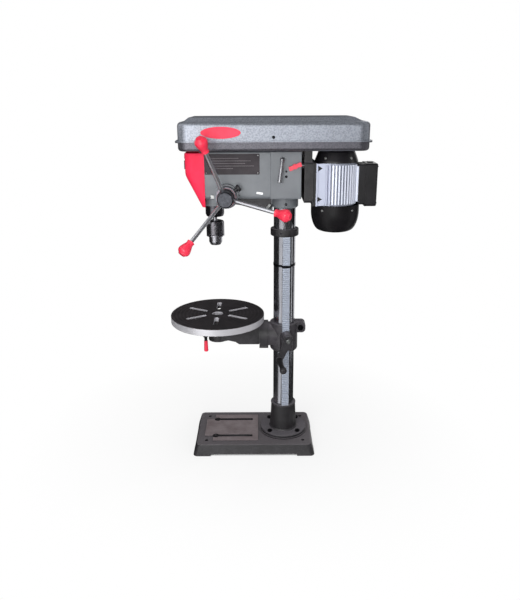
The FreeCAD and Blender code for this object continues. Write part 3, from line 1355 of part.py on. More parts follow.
# ------------------------------------------------------------------ motor
def make_motor_plate():
    """Plate that carries the motor, with bosses for the two slide rods."""
    front, back = value("size.plate_front"), value("size.plate_back")
    plate = Part.makeBox(back - front, 136, 115, V(front, -68, 794))
    plate = plate.makeFillet(8, [e for e in plate.Edges if e.BoundBox.XLength > 10])
    side, height = value("size.rod_side"), value("size.rod_height")
    bore = value("size.rod_radius") + 0.02
    for y in (-side, side):
        plate = plate.fuse(Part.makeCylinder(14, 12, V(front - 1, y, height), X))
        plate = plate.fuse(Part.makeBox(22, 30, 30, V(front, y - 15, height + 11)))
    for y in (-side, side):
        plate = plate.cut(Part.makeCylinder(bore, 60, V(front - 10, y, height), X))
    return shaped("motor_plate", plate.removeSplitter())


def make_slide_rods():
    side, height = value("size.rod_side"), value("size.rod_height")
    radius = value("size.rod_radius")
    rods = [Part.makeCylinder(radius, 92, V(-18, y, height), X) for y in (-side, side)]
    return shaped("slide_rods", Part.makeCompound(rods))


def make_motor_body():
    """Finned aluminium housing with a flat foot against the plate."""
    x, radius = value("size.motor_x"), value("size.motor_radius")
    low, high = value("size.motor_low"), value("size.motor_high")
    tall = high - low
    body = Part.makeCylinder(radius, tall, V(x, 0, low))
    reach = value("size.fin_reach")
    count, thick = 12, 4.2
    for side in (-1, 1):
        for number in range(count):
            angle = side * (32 + number * 88 / (count - 1))
            fin = Part.makeBox(reach - radius + 4, thick, tall - 10,
                               V(radius - 4, -thick / 2, low + 5))
            fin.rotate(V(0, 0, 0), Z, angle)
            fin.translate(V(x, 0, 0))
            body = body.fuse(fin)
    back = value("size.plate_back")
    foot = Part.makeBox(8.5, 116, tall + 3.4, V(back, -58, low + 0.4))
    foot = foot.makeFillet(4, [e for e in foot.Edges if e.BoundBox.XLength > 8])
    flange = Part.makeBox(14, 117, tall - 0.4, V(back, -58.5, low + 0.3))
    sides = Part.makeBox(50, 104, tall - 1, V(back, -52, low + 0.5))
    body = body.fuse(foot).fuse(flange).fuse(sides)
    for z in (802, 889):
        for side in (-1, 1):
            corners = [V(91, 0, z + 8), V(104, 0, z), V(91, 0, z - 8)]
            wedge = Part.makePolygon(corners + corners[:1])
            recess = Part.Face(wedge).extrude(V(0, 14, 0))
            recess.translate(V(0, side * 58 - (14 if side > 0 else 0), 0))
            body = body.cut(recess)
    body = body.cut(Part.makeCylinder(radius - 7, tall + 2, V(x, 0, low - 1)))
    pad = Part.makeBox(14, 66, 100, V(value("size.motor_x") + 47, -33, 793))
    pad = pad.cut(Part.makeCylinder(radius - 2, 200, V(x, 0, 700)))
    return shaped("motor_body", body.fuse(pad).removeSplitter())


def make_motor_rotor():
    """Rotor core and fan on the motor shaft, which runs up into the belt guard."""
    x, radius = value("size.motor_x"), value("size.shaft_radius")
    shaft = Part.makeCylinder(radius, 1014 - 722, V(x, 0, 722))
    core = Part.makeCylinder(37, 74, V(x, 0, 806))
    rings = Part.makeCylinder(32, 88, V(x, 0, 799))
    fan_hub = Part.makeCylinder(15, 20, V(x, 0, 728))
    fan_disc = Part.makeCylinder(36, 2.4, V(x, 0, 746))
    blades = []
    for number in range(8):
        blade = Part.makeBox(26, 2, 16, V(12, -1, 731))
        blade.rotate(V(0, 0, 0), Z, 45 * number)
        blade.translate(V(x, 0, 0))
        blades.append(blade)
    return shaped("motor_rotor", shaft.fuse([core, rings, fan_hub, fan_disc] + blades))


def make_motor_top_bell():
    """Upper end bell, a shallow dome with a bearing seat."""
    x = value("size.motor_x")
    profile = [V(17.55, 0, 906), V(24, 0, 903.2), V(63, 0, 903.2), V(62, 0, 909), V(57, 0, 922),
               V(53, 0, 932), V(45, 0, 938.4), V(12, 0, 938.4), V(12, 0, 919.2),
               V(17.55, 0, 919.2)]
    bell = Part.Face(Part.makePolygon(profile + profile[:1])).revolve(V(0, 0, 0), Z, 360)
    bell.translate(V(x, 0, 0))
    return shaped("motor_top_bell", bell)


def make_fan_cover():
    """Pressed fan cover: a cup with a curved lower edge and a ring of air slots."""
    x, radius = value("size.motor_x"), value("size.fan_cover_radius")
    high, low = value("size.motor_low"), value("size.fan_cover_low")

    def cup(inset):
        """The cup's half outline, as a straight wall and a wide lower curve."""
        r, bottom = radius - inset, low + inset
        top = high + (4 if inset else -0.2)
        start, end = V(r, 0, 762), V(r - 31, 0, bottom)
        curve = Part.BSplineCurve()
        curve.interpolate(
            [start, V(r - 1.2, 0, 746), V(r - 6, 0, 727), V(r - 15, 0, bottom + 8), end],
            InitialTangent=V(0, 0, -1), FinalTangent=V(-1, 0, -0.22))
        corners = [end, V(0, 0, bottom), V(0, 0, top), V(r, 0, top), start]
        edges = [Part.makeLine(a, b) for a, b in zip(corners, corners[1:])]
        return Part.Face(Part.Wire(edges + [curve.toShape()])).revolve(V(0, 0, 0), Z, 360)

    cover = cup(0).cut(cup(1.6))
    for ring_radius, count, half in ((15, 6, 2.5), (25, 10, 2.5), (34.5, 14, 2.5)):
        for number in range(count):
            hole = Part.makeCylinder(half, 10, V(ring_radius, 0, low - 4))
            hole.rotate(V(0, 0, 0), Z, 360 * number / count)
            cover = cover.cut(hole)
    cover.translate(V(x, 0, 0))
    return shaped("motor_fan_cover", cover)


def make_junction_box():
    """Terminal box on the motor's rear side: a shallow tray, a deep lid and a small boss on top."""
    tray = Part.makeBox(20, 72, 115.2, V(209.2, -36, 783.8))
    tray = tray.makeFillet(5, [e for e in tray.Edges if e.BoundBox.XLength > 19])
    lid = Part.makeBox(34, 76, 122, V(229, -38, 779))
    lid = lid.makeFillet(6, [e for e in lid.Edges if e.BoundBox.XLength > 30])
    lid = lid.makeFillet(4, [e for e in lid.Edges if e.BoundBox.XMin > 262.9])
    room = Part.makeBox(44, 64, 107.5, V(214, -32, 787.5))
    top_boss = Part.makeBox(14, 20, 3.4, V(238, -10, 900.1))
    gland_hole = Part.makeCylinder(7.1, 20, V(value("size.gland_x"), 25, value("size.gland_z")), Y)
    return shaped("junction_box", tray.fuse([lid, top_boss]).cut([room, gland_hole]))


def make_cable_gland():
    """Inlet gland for the supply cord, on the terminal box's far side."""
    x, z, face = value("size.gland_x"), value("size.gland_z"), 38
    nut = prism("gland_nut", 20, 9, (x, face + 9, z), X, 90)
    bush = cylinder("gland_bush", 8, 8, (x, face + 16, z), X, 90)
    neck = cylinder("gland_neck", 7, 6, (x, face + 1, z), X, 90)
    hole = cylinder("gland_hole", 4.2, 60, (x, face + 30, z), X, 90)
    return cut("cable_gland", join("gland_blank", [nut, bush, neck]), hole)


# ------------------------------------------------------------------ belt guard
def guard_block(low, high, out, inset=0):
    """A rounded rectangle of the guard's plan, grown by an amount and raised between heights."""
    x0 = value("size.guard_front") - out + inset
    x1 = value("size.guard_back") + out - inset
    half = value("size.guard_half") + out - inset
    shape = Part.makeBox(x1 - x0, 2 * half, high - low, V(x0, -half, low))
    corner = value("size.guard_corner") + out - inset
    return shape.makeFillet(corner, [e for e in shape.Edges if e.BoundBox.ZLength > 0.01])


GUARD_FEET = ((-160, -50), (-160, 50), (30, -52), (30, 50))


def make_guard_pan():
    """Pressed pan under the pulleys, with a rolled-out rim and openings for the shafts."""
    low, seam, skin = value("size.guard_low"), value("size.seam"), value("size.guard_skin")
    wall = guard_block(low, seam, 0)
    wall = wall.makeFillet(9, [e for e in wall.Edges if e.BoundBox.ZMax < low + 0.01])
    room = guard_block(low + skin, seam + 10, 0, skin)
    room = room.makeFillet(6.5, [e for e in room.Edges if e.BoundBox.ZMax < low + skin + 0.01])
    rim = guard_block(seam - 2.5, seam - 0.1, value("size.lip"))
    pan = wall.fuse(rim).cut(room)
    below = low - 11
    motor_x, head_top = value("size.motor_x"), value("size.head_high")
    pivot = V(value("size.idler_pivot_x"), value("size.idler_pivot_y"), below)
    slot = Part.makeBox(24, 40, 30, V(motor_x - 14, -20, below))
    for end in (motor_x - 14, motor_x + 10):
        slot = slot.fuse(Part.makeCylinder(20, 30, V(end, 0, below)))
    spindle_way = Part.makeCylinder(31.3, 30, V(value("size.spindle_x"), 0, below))
    pan = pan.cut(spindle_way).cut(slot).cut(Part.makeCylinder(16, 30, pivot))
    # four feet bridge the gap down to the head's top face
    for x, y in GUARD_FEET:
        foot = Part.makeCylinder(8, low - head_top + 1, V(x, y, head_top))
        pan = pan.fuse(foot).cut(Part.makeCylinder(3, 30, V(x, y, below)))
    return shaped("guard_pan", pan.removeSplitter())


def lid_outline(inset):
    """The lid's outer form: upright sides, a rounded shoulder and a flat raised plateau."""
    seam, high = value("size.seam"), value("size.guard_high") - inset
    shoulder = 1018 - inset
    side = guard_block(seam + (0.1 if not inset else -5), shoulder, 0, inset)
    side = side.makeFillet(11 - inset, [e for e in side.Edges if e.BoundBox.ZMin > shoulder - 0.01])
    front, back, half = value("size.guard_front") + 12, value("size.guard_back") - 10, 100.0 - inset
    low = shoulder - 4
    foot = Part.Face(Part.makePolygon([
        V(front + inset, -half, low), V(back - inset, -half, low), V(back - inset, half, low),
        V(front + inset, half, low), V(front + inset, -half, low)]))
    inner_front, inner_back = front + 19, back - 32
    top = Part.makePolygon([
        V(inner_front, -half + 14, high), V(inner_back, -half + 14, high),
        V(inner_back, half - 14, high), V(inner_front, half - 14, high),
        V(inner_front, -half + 14, high)])
    plateau = Part.makeLoft([foot.OuterWire, top], True, True)
    plateau = plateau.makeFillet(9, [e for e in plateau.Edges if e.BoundBox.ZLength > 5])
    return side.fuse(plateau)


def make_guard_lid():
    """Hinged lid of the belt guard, a thin shell with a turned-out rim."""
    seam = value("size.seam")
    lid = lid_outline(0)
    rim = guard_block(seam + 0.1, seam + 2.5, value("size.lip"))
    lid = lid.fuse(rim).cut(lid_outline(value("size.guard_skin")))
    return shaped("guard_lid", lid.fuse(hinge_straps()))


HINGE_SPOTS, HINGE_SIDE = (-170, 90), 123.5


def make_lid_hinges():
    """Fixed leaves of the lid's two hinges, with their outer knuckles and pins."""
    y, z = HINGE_SIDE, value("size.seam")
    leaves = []
    for x in HINGE_SPOTS:
        leaf = Part.makeBox(50, 2, 16, V(x - 25, 112.2, z - 22))
        arm = Part.makeBox(50, 11.6, 1.6, V(x - 25, 112.4, z - 7.6))
        pin = Part.makeCylinder(1.84, 50, V(x - 25, y, z), X)
        pieces = [arm, pin]
        for start in (-25, 11):
            pieces.append(Part.makeCylinder(3.4, 14, V(x + start, y, z), X))
            pieces.append(Part.makeBox(14, 1.8, 7, V(x + start, y - 0.9, z - 7.6)))
        leaves.append(leaf.fuse(pieces))
    return shaped("lid_hinges", Part.makeCompound(leaves))


def hinge_straps():
    """Middle knuckles of the hinges, on straps that are riveted to the lid's rim."""
    y, z = HINGE_SIDE, value("size.seam")
    straps = []
    for x in HINGE_SPOTS:
        knuckle = Part.makeCylinder(3.4, 21, V(x - 10.5, y, z), X)
        strap = Part.makeBox(21, 12.3, 1.4, V(x - 10.5, 111, z + 2))
        straps.append(knuckle.fuse(strap).cut(Part.makeCylinder(1.9, 60, V(x - 30, y, z), X)))
    return straps


# ------------------------------------------------------------------ the whole machine
for make in (
        make_base, make_column_support, make_column_support_bolts, make_column, make_rack_collar,
        make_column_rack, make_rack_band, make_table_bracket, make_bracket_bolts, make_lift_pinion,
        make_crank_worm_shaft, make_crank_arm, make_crank_grip, make_table_arm, make_table,
        make_table_lock_lever, make_table_lock_grip, make_head, make_set_screws, make_front_cover,
        make_power_switch, make_stop_button, make_spec_plate, make_depth_pointer,
        make_tension_lever, make_slide_lock_knob, make_quill, make_quill_bearings, make_spindle,
        make_drive_sleeve, make_drive_sleeve_bearing, make_chuck_body, make_chuck_sleeve,
        make_feed_shaft, make_feed_hub, make_feed_spokes, make_feed_knobs, make_depth_ring,
        make_depth_lock_knob, make_return_spring_housing, make_return_spring, make_idler_arm,
        make_motor_plate, make_slide_rods, make_motor_body, make_motor_rotor, make_motor_top_bell,
        make_fan_cover, make_junction_box, make_cable_gland, make_guard_pan, make_guard_lid,
        make_lid_hinges, make_drive_belts):
    keep(make())
for number in range(3):
    keep(make_chuck_jaw(number))
keep(step_pulley("spindle_pulley", SPINDLE_STEPS, 12.44, value("size.spindle_x")))
keep(step_pulley("idler_pulley", IDLER_STEPS, 8.0, value("size.idler_x")))
keep(step_pulley("motor_pulley", MOTOR_STEPS, 8.0, value("size.motor_x")))

doc.recompute()
bad = [thing.Label for thing in doc.Objects if {"Invalid", "Error"} & set(thing.State)]
for thing in SUB_PARTS:
    if thing.Shape.isNull() or not thing.Shape.isValid() or not thing.Shape.Solids:
        bad.append(thing.Label)
if bad:
    raise RuntimeError("sub-parts that failed: " + ", ".join(sorted(set(bad))))

os.makedirs("parts", exist_ok=True)
for thing in SUB_PARTS:
    thing.Shape.exportStep(f"parts/{thing.Label}.step")
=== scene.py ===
"""Looks of the bench drill press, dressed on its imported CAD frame.

Lengths are metres in the CAD's own frame: the column stands on the origin, +Z is up, +X points to
the motor, and the feed handle and the table crank are on the -Y side.
"""
import math

import bmesh
import bpy
from mathutils import Matrix, Vector


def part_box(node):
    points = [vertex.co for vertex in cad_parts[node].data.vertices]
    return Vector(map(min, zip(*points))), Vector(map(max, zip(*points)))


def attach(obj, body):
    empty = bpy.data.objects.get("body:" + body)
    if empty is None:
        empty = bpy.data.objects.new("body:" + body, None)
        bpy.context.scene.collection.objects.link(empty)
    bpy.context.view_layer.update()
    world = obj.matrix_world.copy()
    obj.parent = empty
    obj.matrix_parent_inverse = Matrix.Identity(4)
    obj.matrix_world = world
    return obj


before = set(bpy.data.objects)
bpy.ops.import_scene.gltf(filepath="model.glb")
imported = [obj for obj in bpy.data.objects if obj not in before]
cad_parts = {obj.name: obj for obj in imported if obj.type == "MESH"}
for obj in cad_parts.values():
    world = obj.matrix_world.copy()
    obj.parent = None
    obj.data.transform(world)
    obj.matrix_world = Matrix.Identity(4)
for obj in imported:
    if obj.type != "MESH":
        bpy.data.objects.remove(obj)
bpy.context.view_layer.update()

MM = 0.001
X, Y, Z = Vector((1, 0, 0)), Vector((0, 1, 0)), Vector((0, 0, 1))
SPINDLE_X, MOTOR_X = -0.207, 0.148
FEED_X, FEED_Z = -0.168, 0.816
SMOOTH_ANGLE = math.radians(32)


# ------------------------------------------------------------------ camera
CAMERA_AT = (-0.0745, -1.800, 1.0776)
CAMERA_LENS = 36.62
CAMERA_DIP = math.radians(18.286)
CAMERA_ROLL = -0.0045


def make_camera():
    """The camera stands a little above the belt guard and looks down at the whole machine."""
    data = bpy.data.cameras.new("camera")
    data.lens = CAMERA_LENS
    camera = bpy.data.objects.new("camera", data)
    bpy.context.scene.collection.objects.link(camera)
    tilt = Matrix.Rotation(math.radians(90) - CAMERA_DIP, 4, "X")
    roll = Matrix.Rotation(CAMERA_ROLL, 4, "Z")
    camera.matrix_world = Matrix.Translation(CAMERA_AT) @ tilt @ roll
    bpy.context.scene.camera = camera


# ------------------------------------------------------------------ finishes
def colour(red, green, blue):
    """A linear colour from the 0 to 255 values in which it is usually written."""
    def linear(channel):
        channel /= 255
        return channel / 12.92 if channel <= 0.04045 else ((channel + 0.055) / 1.055) ** 2.4
    return linear(red), linear(green), linear(blue), 1.0


class Finish:
    """A material: one Principled shader and the texture nodes that drive it."""

    def __init__(self, name, coat=0.0, coat_roughness=0.1):
        self.material = bpy.data.materials.new(name)
        self.material.use_nodes = True
        self.tree = self.material.node_tree
        self.shader = self.tree.nodes["Principled BSDF"]
        self.shader.inputs["Coat Weight"].default_value = coat
        self.shader.inputs["Coat Roughness"].default_value = coat_roughness
        self.material.diffuse_color = (0.3, 0.3, 0.3, 1)
        where = self.node("TexCoord")
        self.place, self.normal = where.outputs["Object"], where.outputs["Normal"]

    def node(self, kind, **settings):
        made = self.tree.nodes.new("ShaderNode" + kind)
        for name, value in settings.items():
            setattr(made, name, value)
        return made

    def plug(self, socket, source):
        """Link a node's output to a socket, or set the socket to a plain value."""
        if isinstance(source, bpy.types.NodeSocket):
            self.tree.links.new(source, socket)
        else:
            socket.default_value = source

    def sum(self, operation, a, b=0.0):
        made = self.node("Math", operation=operation)
        self.plug(made.inputs[0], a)
        self.plug(made.inputs[1], b)
        return made.outputs[0]

    def product(self, first, *others):
        for other in others:
            first = self.sum("MULTIPLY", first, other)
        return first

    def stretched(self, stretch):
        mapping = self.node("Mapping")
        self.plug(mapping.inputs["Vector"], self.place)
        mapping.inputs["Scale"].default_value = stretch
        return mapping.outputs[0]

    def noise(self, scale, detail=3.0, roughness=0.55, stretch=None):
        made = self.node("TexNoise")
        self.plug(made.inputs["Vector"], self.stretched(stretch) if stretch else self.place)
        made.inputs["Scale"].default_value = scale
        made.inputs["Detail"].default_value = detail
        made.inputs["Roughness"].default_value = roughness
        return made.outputs["Fac"]

    def cells(self, scale, feature="F1", smooth=0.0):
        """Distance to the nearest of many scattered points."""
        made = self.node("TexVoronoi", feature=feature)
        self.plug(made.inputs["Vector"], self.place)
        made.inputs["Scale"].default_value = scale
        if smooth:
            made.inputs["Smoothness"].default_value = smooth
        return made.outputs["Distance"]

    def ramp(self, factor, low, high, dark=0.0, light=1.0):
        """Remap a factor from one range to another, clamped."""
        made = self.node("MapRange")
        for name, value in zip(("Value", "From Min", "From Max", "To Min", "To Max"),
                               (factor, low, high, dark, light)):
            self.plug(made.inputs[name], value)
        return made.outputs["Result"]

    def blend(self, factor, a, b):
        """Mix two colours."""
        made = self.node("Mix", data_type="RGBA")
        self.plug(made.inputs["Factor"], factor)
        self.plug(made.inputs[6], a)
        self.plug(made.inputs[7], b)
        return made.outputs[2]

    def axes(self, vector=None):
        made = self.node("SeparateXYZ")
        self.plug(made.inputs[0], vector or self.place)
        return made.outputs

    def above(self, factor, edge, soft=0.0004):
        """0 below an edge and 1 above it, with a short ramp between."""
        return self.ramp(factor, edge - soft, edge + soft)

    def below(self, factor, edge, soft=0.0004):
        """1 below an edge and 0 above it."""
        return self.above(factor, edge, -soft)

    def size(self, factor):
        return self.sum("ABSOLUTE", factor)

    def away(self, centre, across=("X", "Y")):
        """Distance from an axis, given as the centre's two coordinates."""
        axes = self.axes()
        squares = [self.sum("POWER", self.sum("SUBTRACT", axes[name], middle), 2.0)
                   for name, middle in zip(across, centre)]
        return self.sum("SQRT", self.sum("ADD", *squares))

    def edges(self, radius=0.0012):
        """1 on the sharp outer edges of a part and 0 on its faces."""
        bevel = self.node("Bevel", samples=4)
        bevel.inputs["Radius"].default_value = radius
        plain = self.node("NewGeometry")
        dot = self.node("VectorMath", operation="DOT_PRODUCT")
        self.plug(dot.inputs[0], bevel.outputs[0])
        self.plug(dot.inputs[1], plain.outputs["Normal"])
        return self.ramp(dot.outputs["Value"], 0.985, 0.90)

    def bump(self, height, depth, below=None):
        made = self.node("Bump")
        made.inputs["Distance"].default_value = depth
        self.plug(made.inputs["Height"], height)
        if below:
            self.plug(made.inputs["Normal"], below)
        return made.outputs[0]

    def finish(self, base, roughness, bump=None, metallic=None):
        self.plug(self.shader.inputs["Base Color"], base)
        self.plug(self.shader.inputs["Roughness"], roughness)
        if bump is not None:
            self.plug(self.shader.inputs["Normal"], bump)
        if metallic is not None:
            self.plug(self.shader.inputs["Metallic"], metallic)
        return self.material


def hammer_paint(name, deep, bright, worn):
    """Metallic hammer-finish paint on the pressed belt guard: shallow dimples in bright flake."""
    f = Finish(name, coat=0.35, coat_roughness=0.22)
    dimple = f.cells(260, "SMOOTH_F1", 0.7)
    flake = f.noise(1400, 2.0, 0.7)
    drift = f.noise(9, 2.0)
    tone = f.product(f.ramp(dimple, 0.10, 0.62), f.ramp(flake, 0.3, 0.7, 0.75, 1.0))
    base = f.blend(tone, colour(*deep), colour(*bright))
    base = f.blend(f.ramp(drift, 0.35, 0.7, 0.0, 0.22), base, colour(*worn))
    rough = f.ramp(flake, 0.3, 0.7, 0.34, 0.44)
    height = f.sum("ADD", f.ramp(dimple, 0.0, 0.6), f.product(flake, 0.18))
    return f.finish(base, rough, f.bump(height, 0.00016), 0.80)


# The web under the head, darkened as painted shade: its top, its two ends and half its width
WEB_TOP, WEB_FRONT, WEB_BACK, WEB_HALF = 0.8045, -0.1660, -0.0405, 0.0140


def head_paint():
    """Smooth grey enamel with a trace of orange peel; the web under the head is painted near-black as
    painted shade.
    """
    f = Finish("head_paint", coat=0.12, coat_roughness=0.35)
    peel, drift, grime = f.noise(700, 2.0), f.noise(14, 3.0), f.noise(60, 4.0, 0.65)
    base = f.blend(f.ramp(drift, 0.3, 0.7), colour(92, 96, 101), colour(102, 106, 111))
    base = f.blend(f.ramp(grime, 0.55, 0.78, 0.0, 0.22), base, colour(86, 88, 92))
    base = f.blend(f.product(f.edges(0.0014), 0.35), base, colour(172, 176, 182))
    axes = f.axes()
    # Painted shade: the web under the head is painted near-black for the shade that falls under the
    # head.
    web_painted_shade = f.product(f.below(axes["Z"], WEB_TOP), f.below(axes["X"], WEB_BACK),
                    f.above(axes["X"], WEB_FRONT), f.below(f.size(axes["Y"]), WEB_HALF))
    base = f.blend(web_painted_shade, base, colour(44, 42, 46))
    rough = f.ramp(grime, 0.3, 0.7, 0.42, 0.56)
    return f.finish(base, rough, f.bump(f.sum("ADD", peel, drift), 0.00009))


def iron_paint(name, dark, light, dust_and_top_sheen, grain=520, rough=(0.38, 0.56)):
    """Black or grey paint over sand-cast iron: pitted, uneven and rubbed pale at the corners, with
    up-facing faces speckled pale, partly as dust and partly as a painted sheen.
    """
    f = Finish(name)
    dark, light, dust_and_top_sheen = colour(*dark), colour(*light), colour(*dust_and_top_sheen)
    sand, swell, pits = f.noise(grain, 4.0, 0.7), f.noise(38, 3.0), f.cells(230)
    base = f.blend(f.ramp(swell, 0.35, 0.68), dark, light)
    base = f.blend(f.ramp(sand, 0.56, 0.80, 0.0, 0.40), base, dust_and_top_sheen)
    base = f.blend(f.product(f.edges(0.0016), f.ramp(sand, 0.4, 0.7, 0.2, 0.7)), base, dust_and_top_sheen)
    # Partly painted light: up-facing faces are blended towards the pale tone, as dust and as a
    # painted sheen standing in for the light that tops catch.
    level = f.ramp(f.axes(f.normal)["Z"], 0.55, 0.95)
    base = f.blend(f.product(level, f.ramp(sand, 0.3, 0.7, 0.35, 0.75)), base, dust_and_top_sheen)
    height = f.sum("ADD", sand, f.product(f.ramp(pits, 0.0, 0.25), 0.35))
    height = f.sum("ADD", height, f.product(swell, 0.8))
    return f, base, f.ramp(sand, 0.35, 0.7, *rough), f.bump(height, 0.0005)


def plain_iron(name, dark, light, dust_and_top_sheen):
    """The iron paint with nothing over it."""
    f, base, rough, bump = iron_paint(name, dark, light, dust_and_top_sheen)
    return f.finish(base, rough, bump)


# The planed pad on the base: its two ends, half its width and its level
PAD_FRONT, PAD_BACK, PAD_HALF, PAD_LEVEL = -0.2566, -0.0823, 0.0846, 0.0362


def base_iron():
    """The base casting: grey-black paint, and a bare planed pad that has browned with oil."""
    f, base, rough, bump = iron_paint(
        "base_iron", (25, 23, 26), (35, 33, 37), (120, 115, 119), 420, (0.42, 0.62))
    axes, facing = f.axes(), f.axes(f.normal)
    pad = f.product(f.above(axes["X"], PAD_FRONT), f.below(axes["X"], PAD_BACK),
                    f.below(f.size(axes["Y"]), PAD_HALF), f.above(axes["Z"], PAD_LEVEL),
                    f.above(facing["Z"], 0.6, 0.2))
    planed = f.noise(900, 3.0, 0.6, (0.05, 1.0, 1.0))
    stain = f.noise(26, 4.0, 0.6)
    bare = f.blend(f.ramp(stain, 0.3, 0.72), colour(138, 126, 128), colour(168, 157, 160))
    bare = f.blend(f.ramp(planed, 0.4, 0.75, 0.0, 0.45), bare, colour(116, 104, 105))
    base = f.blend(pad, base, bare)
    rough = f.sum("SUBTRACT", rough, f.product(pad, 0.12))
    scored = f.bump(f.product(planed, pad), 0.00008, bump)
    return f.finish(base, rough, scored, f.product(pad, 0.35))


def drawn_steel(name, dark, light, rough):
    """Ground or drawn steel whose fine scratches run up the column."""
    f = Finish(name)
    lengthwise = (1.0, 1.0, 0.012)
    scratch, wide = f.noise(900, 3.0, 0.7, lengthwise), f.noise(900 / 7, 2.0, 0.5, lengthwise)
    smear = f.noise(20, 3.0, 0.6)
    streaks = f.sum("ADD", f.product(scratch, 0.5), f.product(wide, 0.5))
    base = f.blend(f.ramp(streaks, 0.36, 0.64), colour(*dark), colour(*light))
    tone = f.sum("ADD", f.ramp(scratch, 0.3, 0.7, rough, rough + 0.12),
                 f.ramp(smear, 0.4, 0.75, 0.0, 0.08))
    return f.finish(base, tone, f.bump(scratch, 0.00002), 1.0)


def turned_metal(name, dark, light, rough, axis=("X", "Y"), centre=(0.0, 0.0), pitch=0.0007,
                 relief=0.00001):
    """Metal turned on a lathe: fine rings about its axis and a slight mottle."""
    f = Finish(name)
    dark, light = colour(*dark), colour(*light)
    radius = f.away(centre, axis)
    mottle = f.noise(140, 3.0, 0.6)
    wander = f.sum("ADD", radius, f.product(f.noise(60, 1.0), 0.0006))
    rings = f.sum("SINE", f.product(wander, 2 * math.pi / pitch))
    base = f.blend(f.ramp(mottle, 0.3, 0.7), dark, light)
    base = f.blend(f.ramp(rings, -1.0, 1.0, 0.0, 0.16), base, dark)
    tone = f.ramp(mottle, 0.3, 0.7, rough, rough + 0.08)
    return f.finish(base, tone, f.bump(rings, relief), 1.0)


def plain_metal(name, dark, light, rough, scale=260, metallic=1.0, relief=0.00005):
    """Plated, cast or blackened metal with an even mottle."""
    f = Finish(name)
    dark, light = colour(*dark), colour(*light)
    worn = tuple(min(1.0, 1.6 * channel) for channel in light[:3]) + (1,)
    mottle, fine = f.noise(scale, 4.0, 0.65), f.noise(scale * 5, 2.0)
    base = f.blend(f.ramp(mottle, 0.3, 0.7), dark, light)
    base = f.blend(f.product(f.edges(0.0006), 0.3), base, worn)
    tone = f.ramp(mottle, 0.3, 0.7, rough, rough + 0.14)
    height = f.sum("ADD", mottle, f.product(fine, 0.3))
    return f.finish(base, tone, f.bump(height, relief), metallic)


def moulded(name, dark, light, rough, scale=700, relief=0.00004, coat=0.0, gloss=0.5):
    """Moulded plastic or rubber with a fine spark-eroded grain."""
    f = Finish(name, coat=coat)
    f.shader.inputs["Specular IOR Level"].default_value = gloss
    dark, light = colour(*dark), colour(*light)
    grain, drift = f.noise(scale, 3.0, 0.6), f.noise(30, 2.0)
    base = f.blend(f.ramp(drift, 0.3, 0.7), dark, light)
    base = f.blend(f.ramp(grain, 0.45, 0.8, 0.0, 0.22), base, dark)
    return f.finish(base, f.ramp(grain, 0.3, 0.7, rough, rough + 0.12), f.bump(grain, relief))


# The table: level of its face, lowest level of its rim and of its slots' bright walls, two radii
TABLE_FACE, RIM_LOW, SLOT_LOW = 0.4390, 0.4180, 0.4275
RIM_RADIUS, SLOT_RADIUS = 0.1420, 0.1400


def table_iron():
    """The table: a dark oiled face with turning rings, a bright machined rim, and raw iron below."""
    f = Finish("table_iron")
    axes, facing = f.axes(), f.axes(f.normal)
    radius = f.away((SPINDLE_X, 0.0))
    sand, blot = f.noise(420, 4.0, 0.7), f.noise(22, 4.0, 0.65)
    wander = f.sum("ADD", radius, f.product(f.noise(30, 1.0), 0.0008))
    fine = f.sum("SINE", f.product(wander, 2 * math.pi / 0.0021))
    broad = f.sum("SINE", f.product(wander, 2 * math.pi / 0.0115))
    rings = f.sum("ADD", f.product(fine, 0.45), f.product(broad, 0.55))

    face = f.blend(f.ramp(blot, 0.3, 0.7), colour(54, 51, 54), colour(72, 68, 71))
    face = f.blend(f.ramp(rings, 0.2, 1.0, 0.0, 0.40), face, colour(112, 108, 110))
    face = f.blend(f.ramp(rings, -0.3, -1.0, 0.0, 0.50), face, colour(34, 32, 35))
    brushed = f.ramp(f.noise(700, 3.0, 0.6, (1.0, 1.0, 6.0)), 0.3, 0.7)
    rim = f.blend(brushed, colour(192, 191, 196), colour(214, 213, 218))
    raw = f.blend(f.ramp(sand, 0.3, 0.7), colour(34, 33, 35), colour(56, 54, 57))

    top = f.product(f.above(axes["Z"], TABLE_FACE), f.above(facing["Z"], 0.55, 0.15))
    sides = f.sum("LESS_THAN", f.size(facing["Z"]), 0.5)
    outside = f.product(sides, f.above(axes["Z"], RIM_LOW), f.above(radius, RIM_RADIUS))
    slot_walls = f.product(sides, f.above(axes["Z"], SLOT_LOW), f.below(radius, SLOT_RADIUS))
    bright = f.sum("MAXIMUM", outside, slot_walls)
    base = f.blend(bright, f.blend(top, raw, face), rim)
    machined = f.sum("MAXIMUM", bright, top)
    rough = f.sum("SUBTRACT", 0.58, f.product(machined, 0.18))
    lumps = f.bump(f.product(sand, f.sum("SUBTRACT", 1.0, machined)), 0.0004)
    return f.finish(base, rough, f.bump(f.product(rings, top), 0.00006, lumps),
                    f.product(machined, 0.55))


# The motor's casing: fin tips and roots, and how far the flat panel, recesses and spacer reach
FIN_TIP, FIN_ROOT = 0.0638, 0.0590
PANEL_END, RECESS_END, RECESS_HALF, SPACER_END = 0.1262, 0.1045, 0.0500, 0.0856


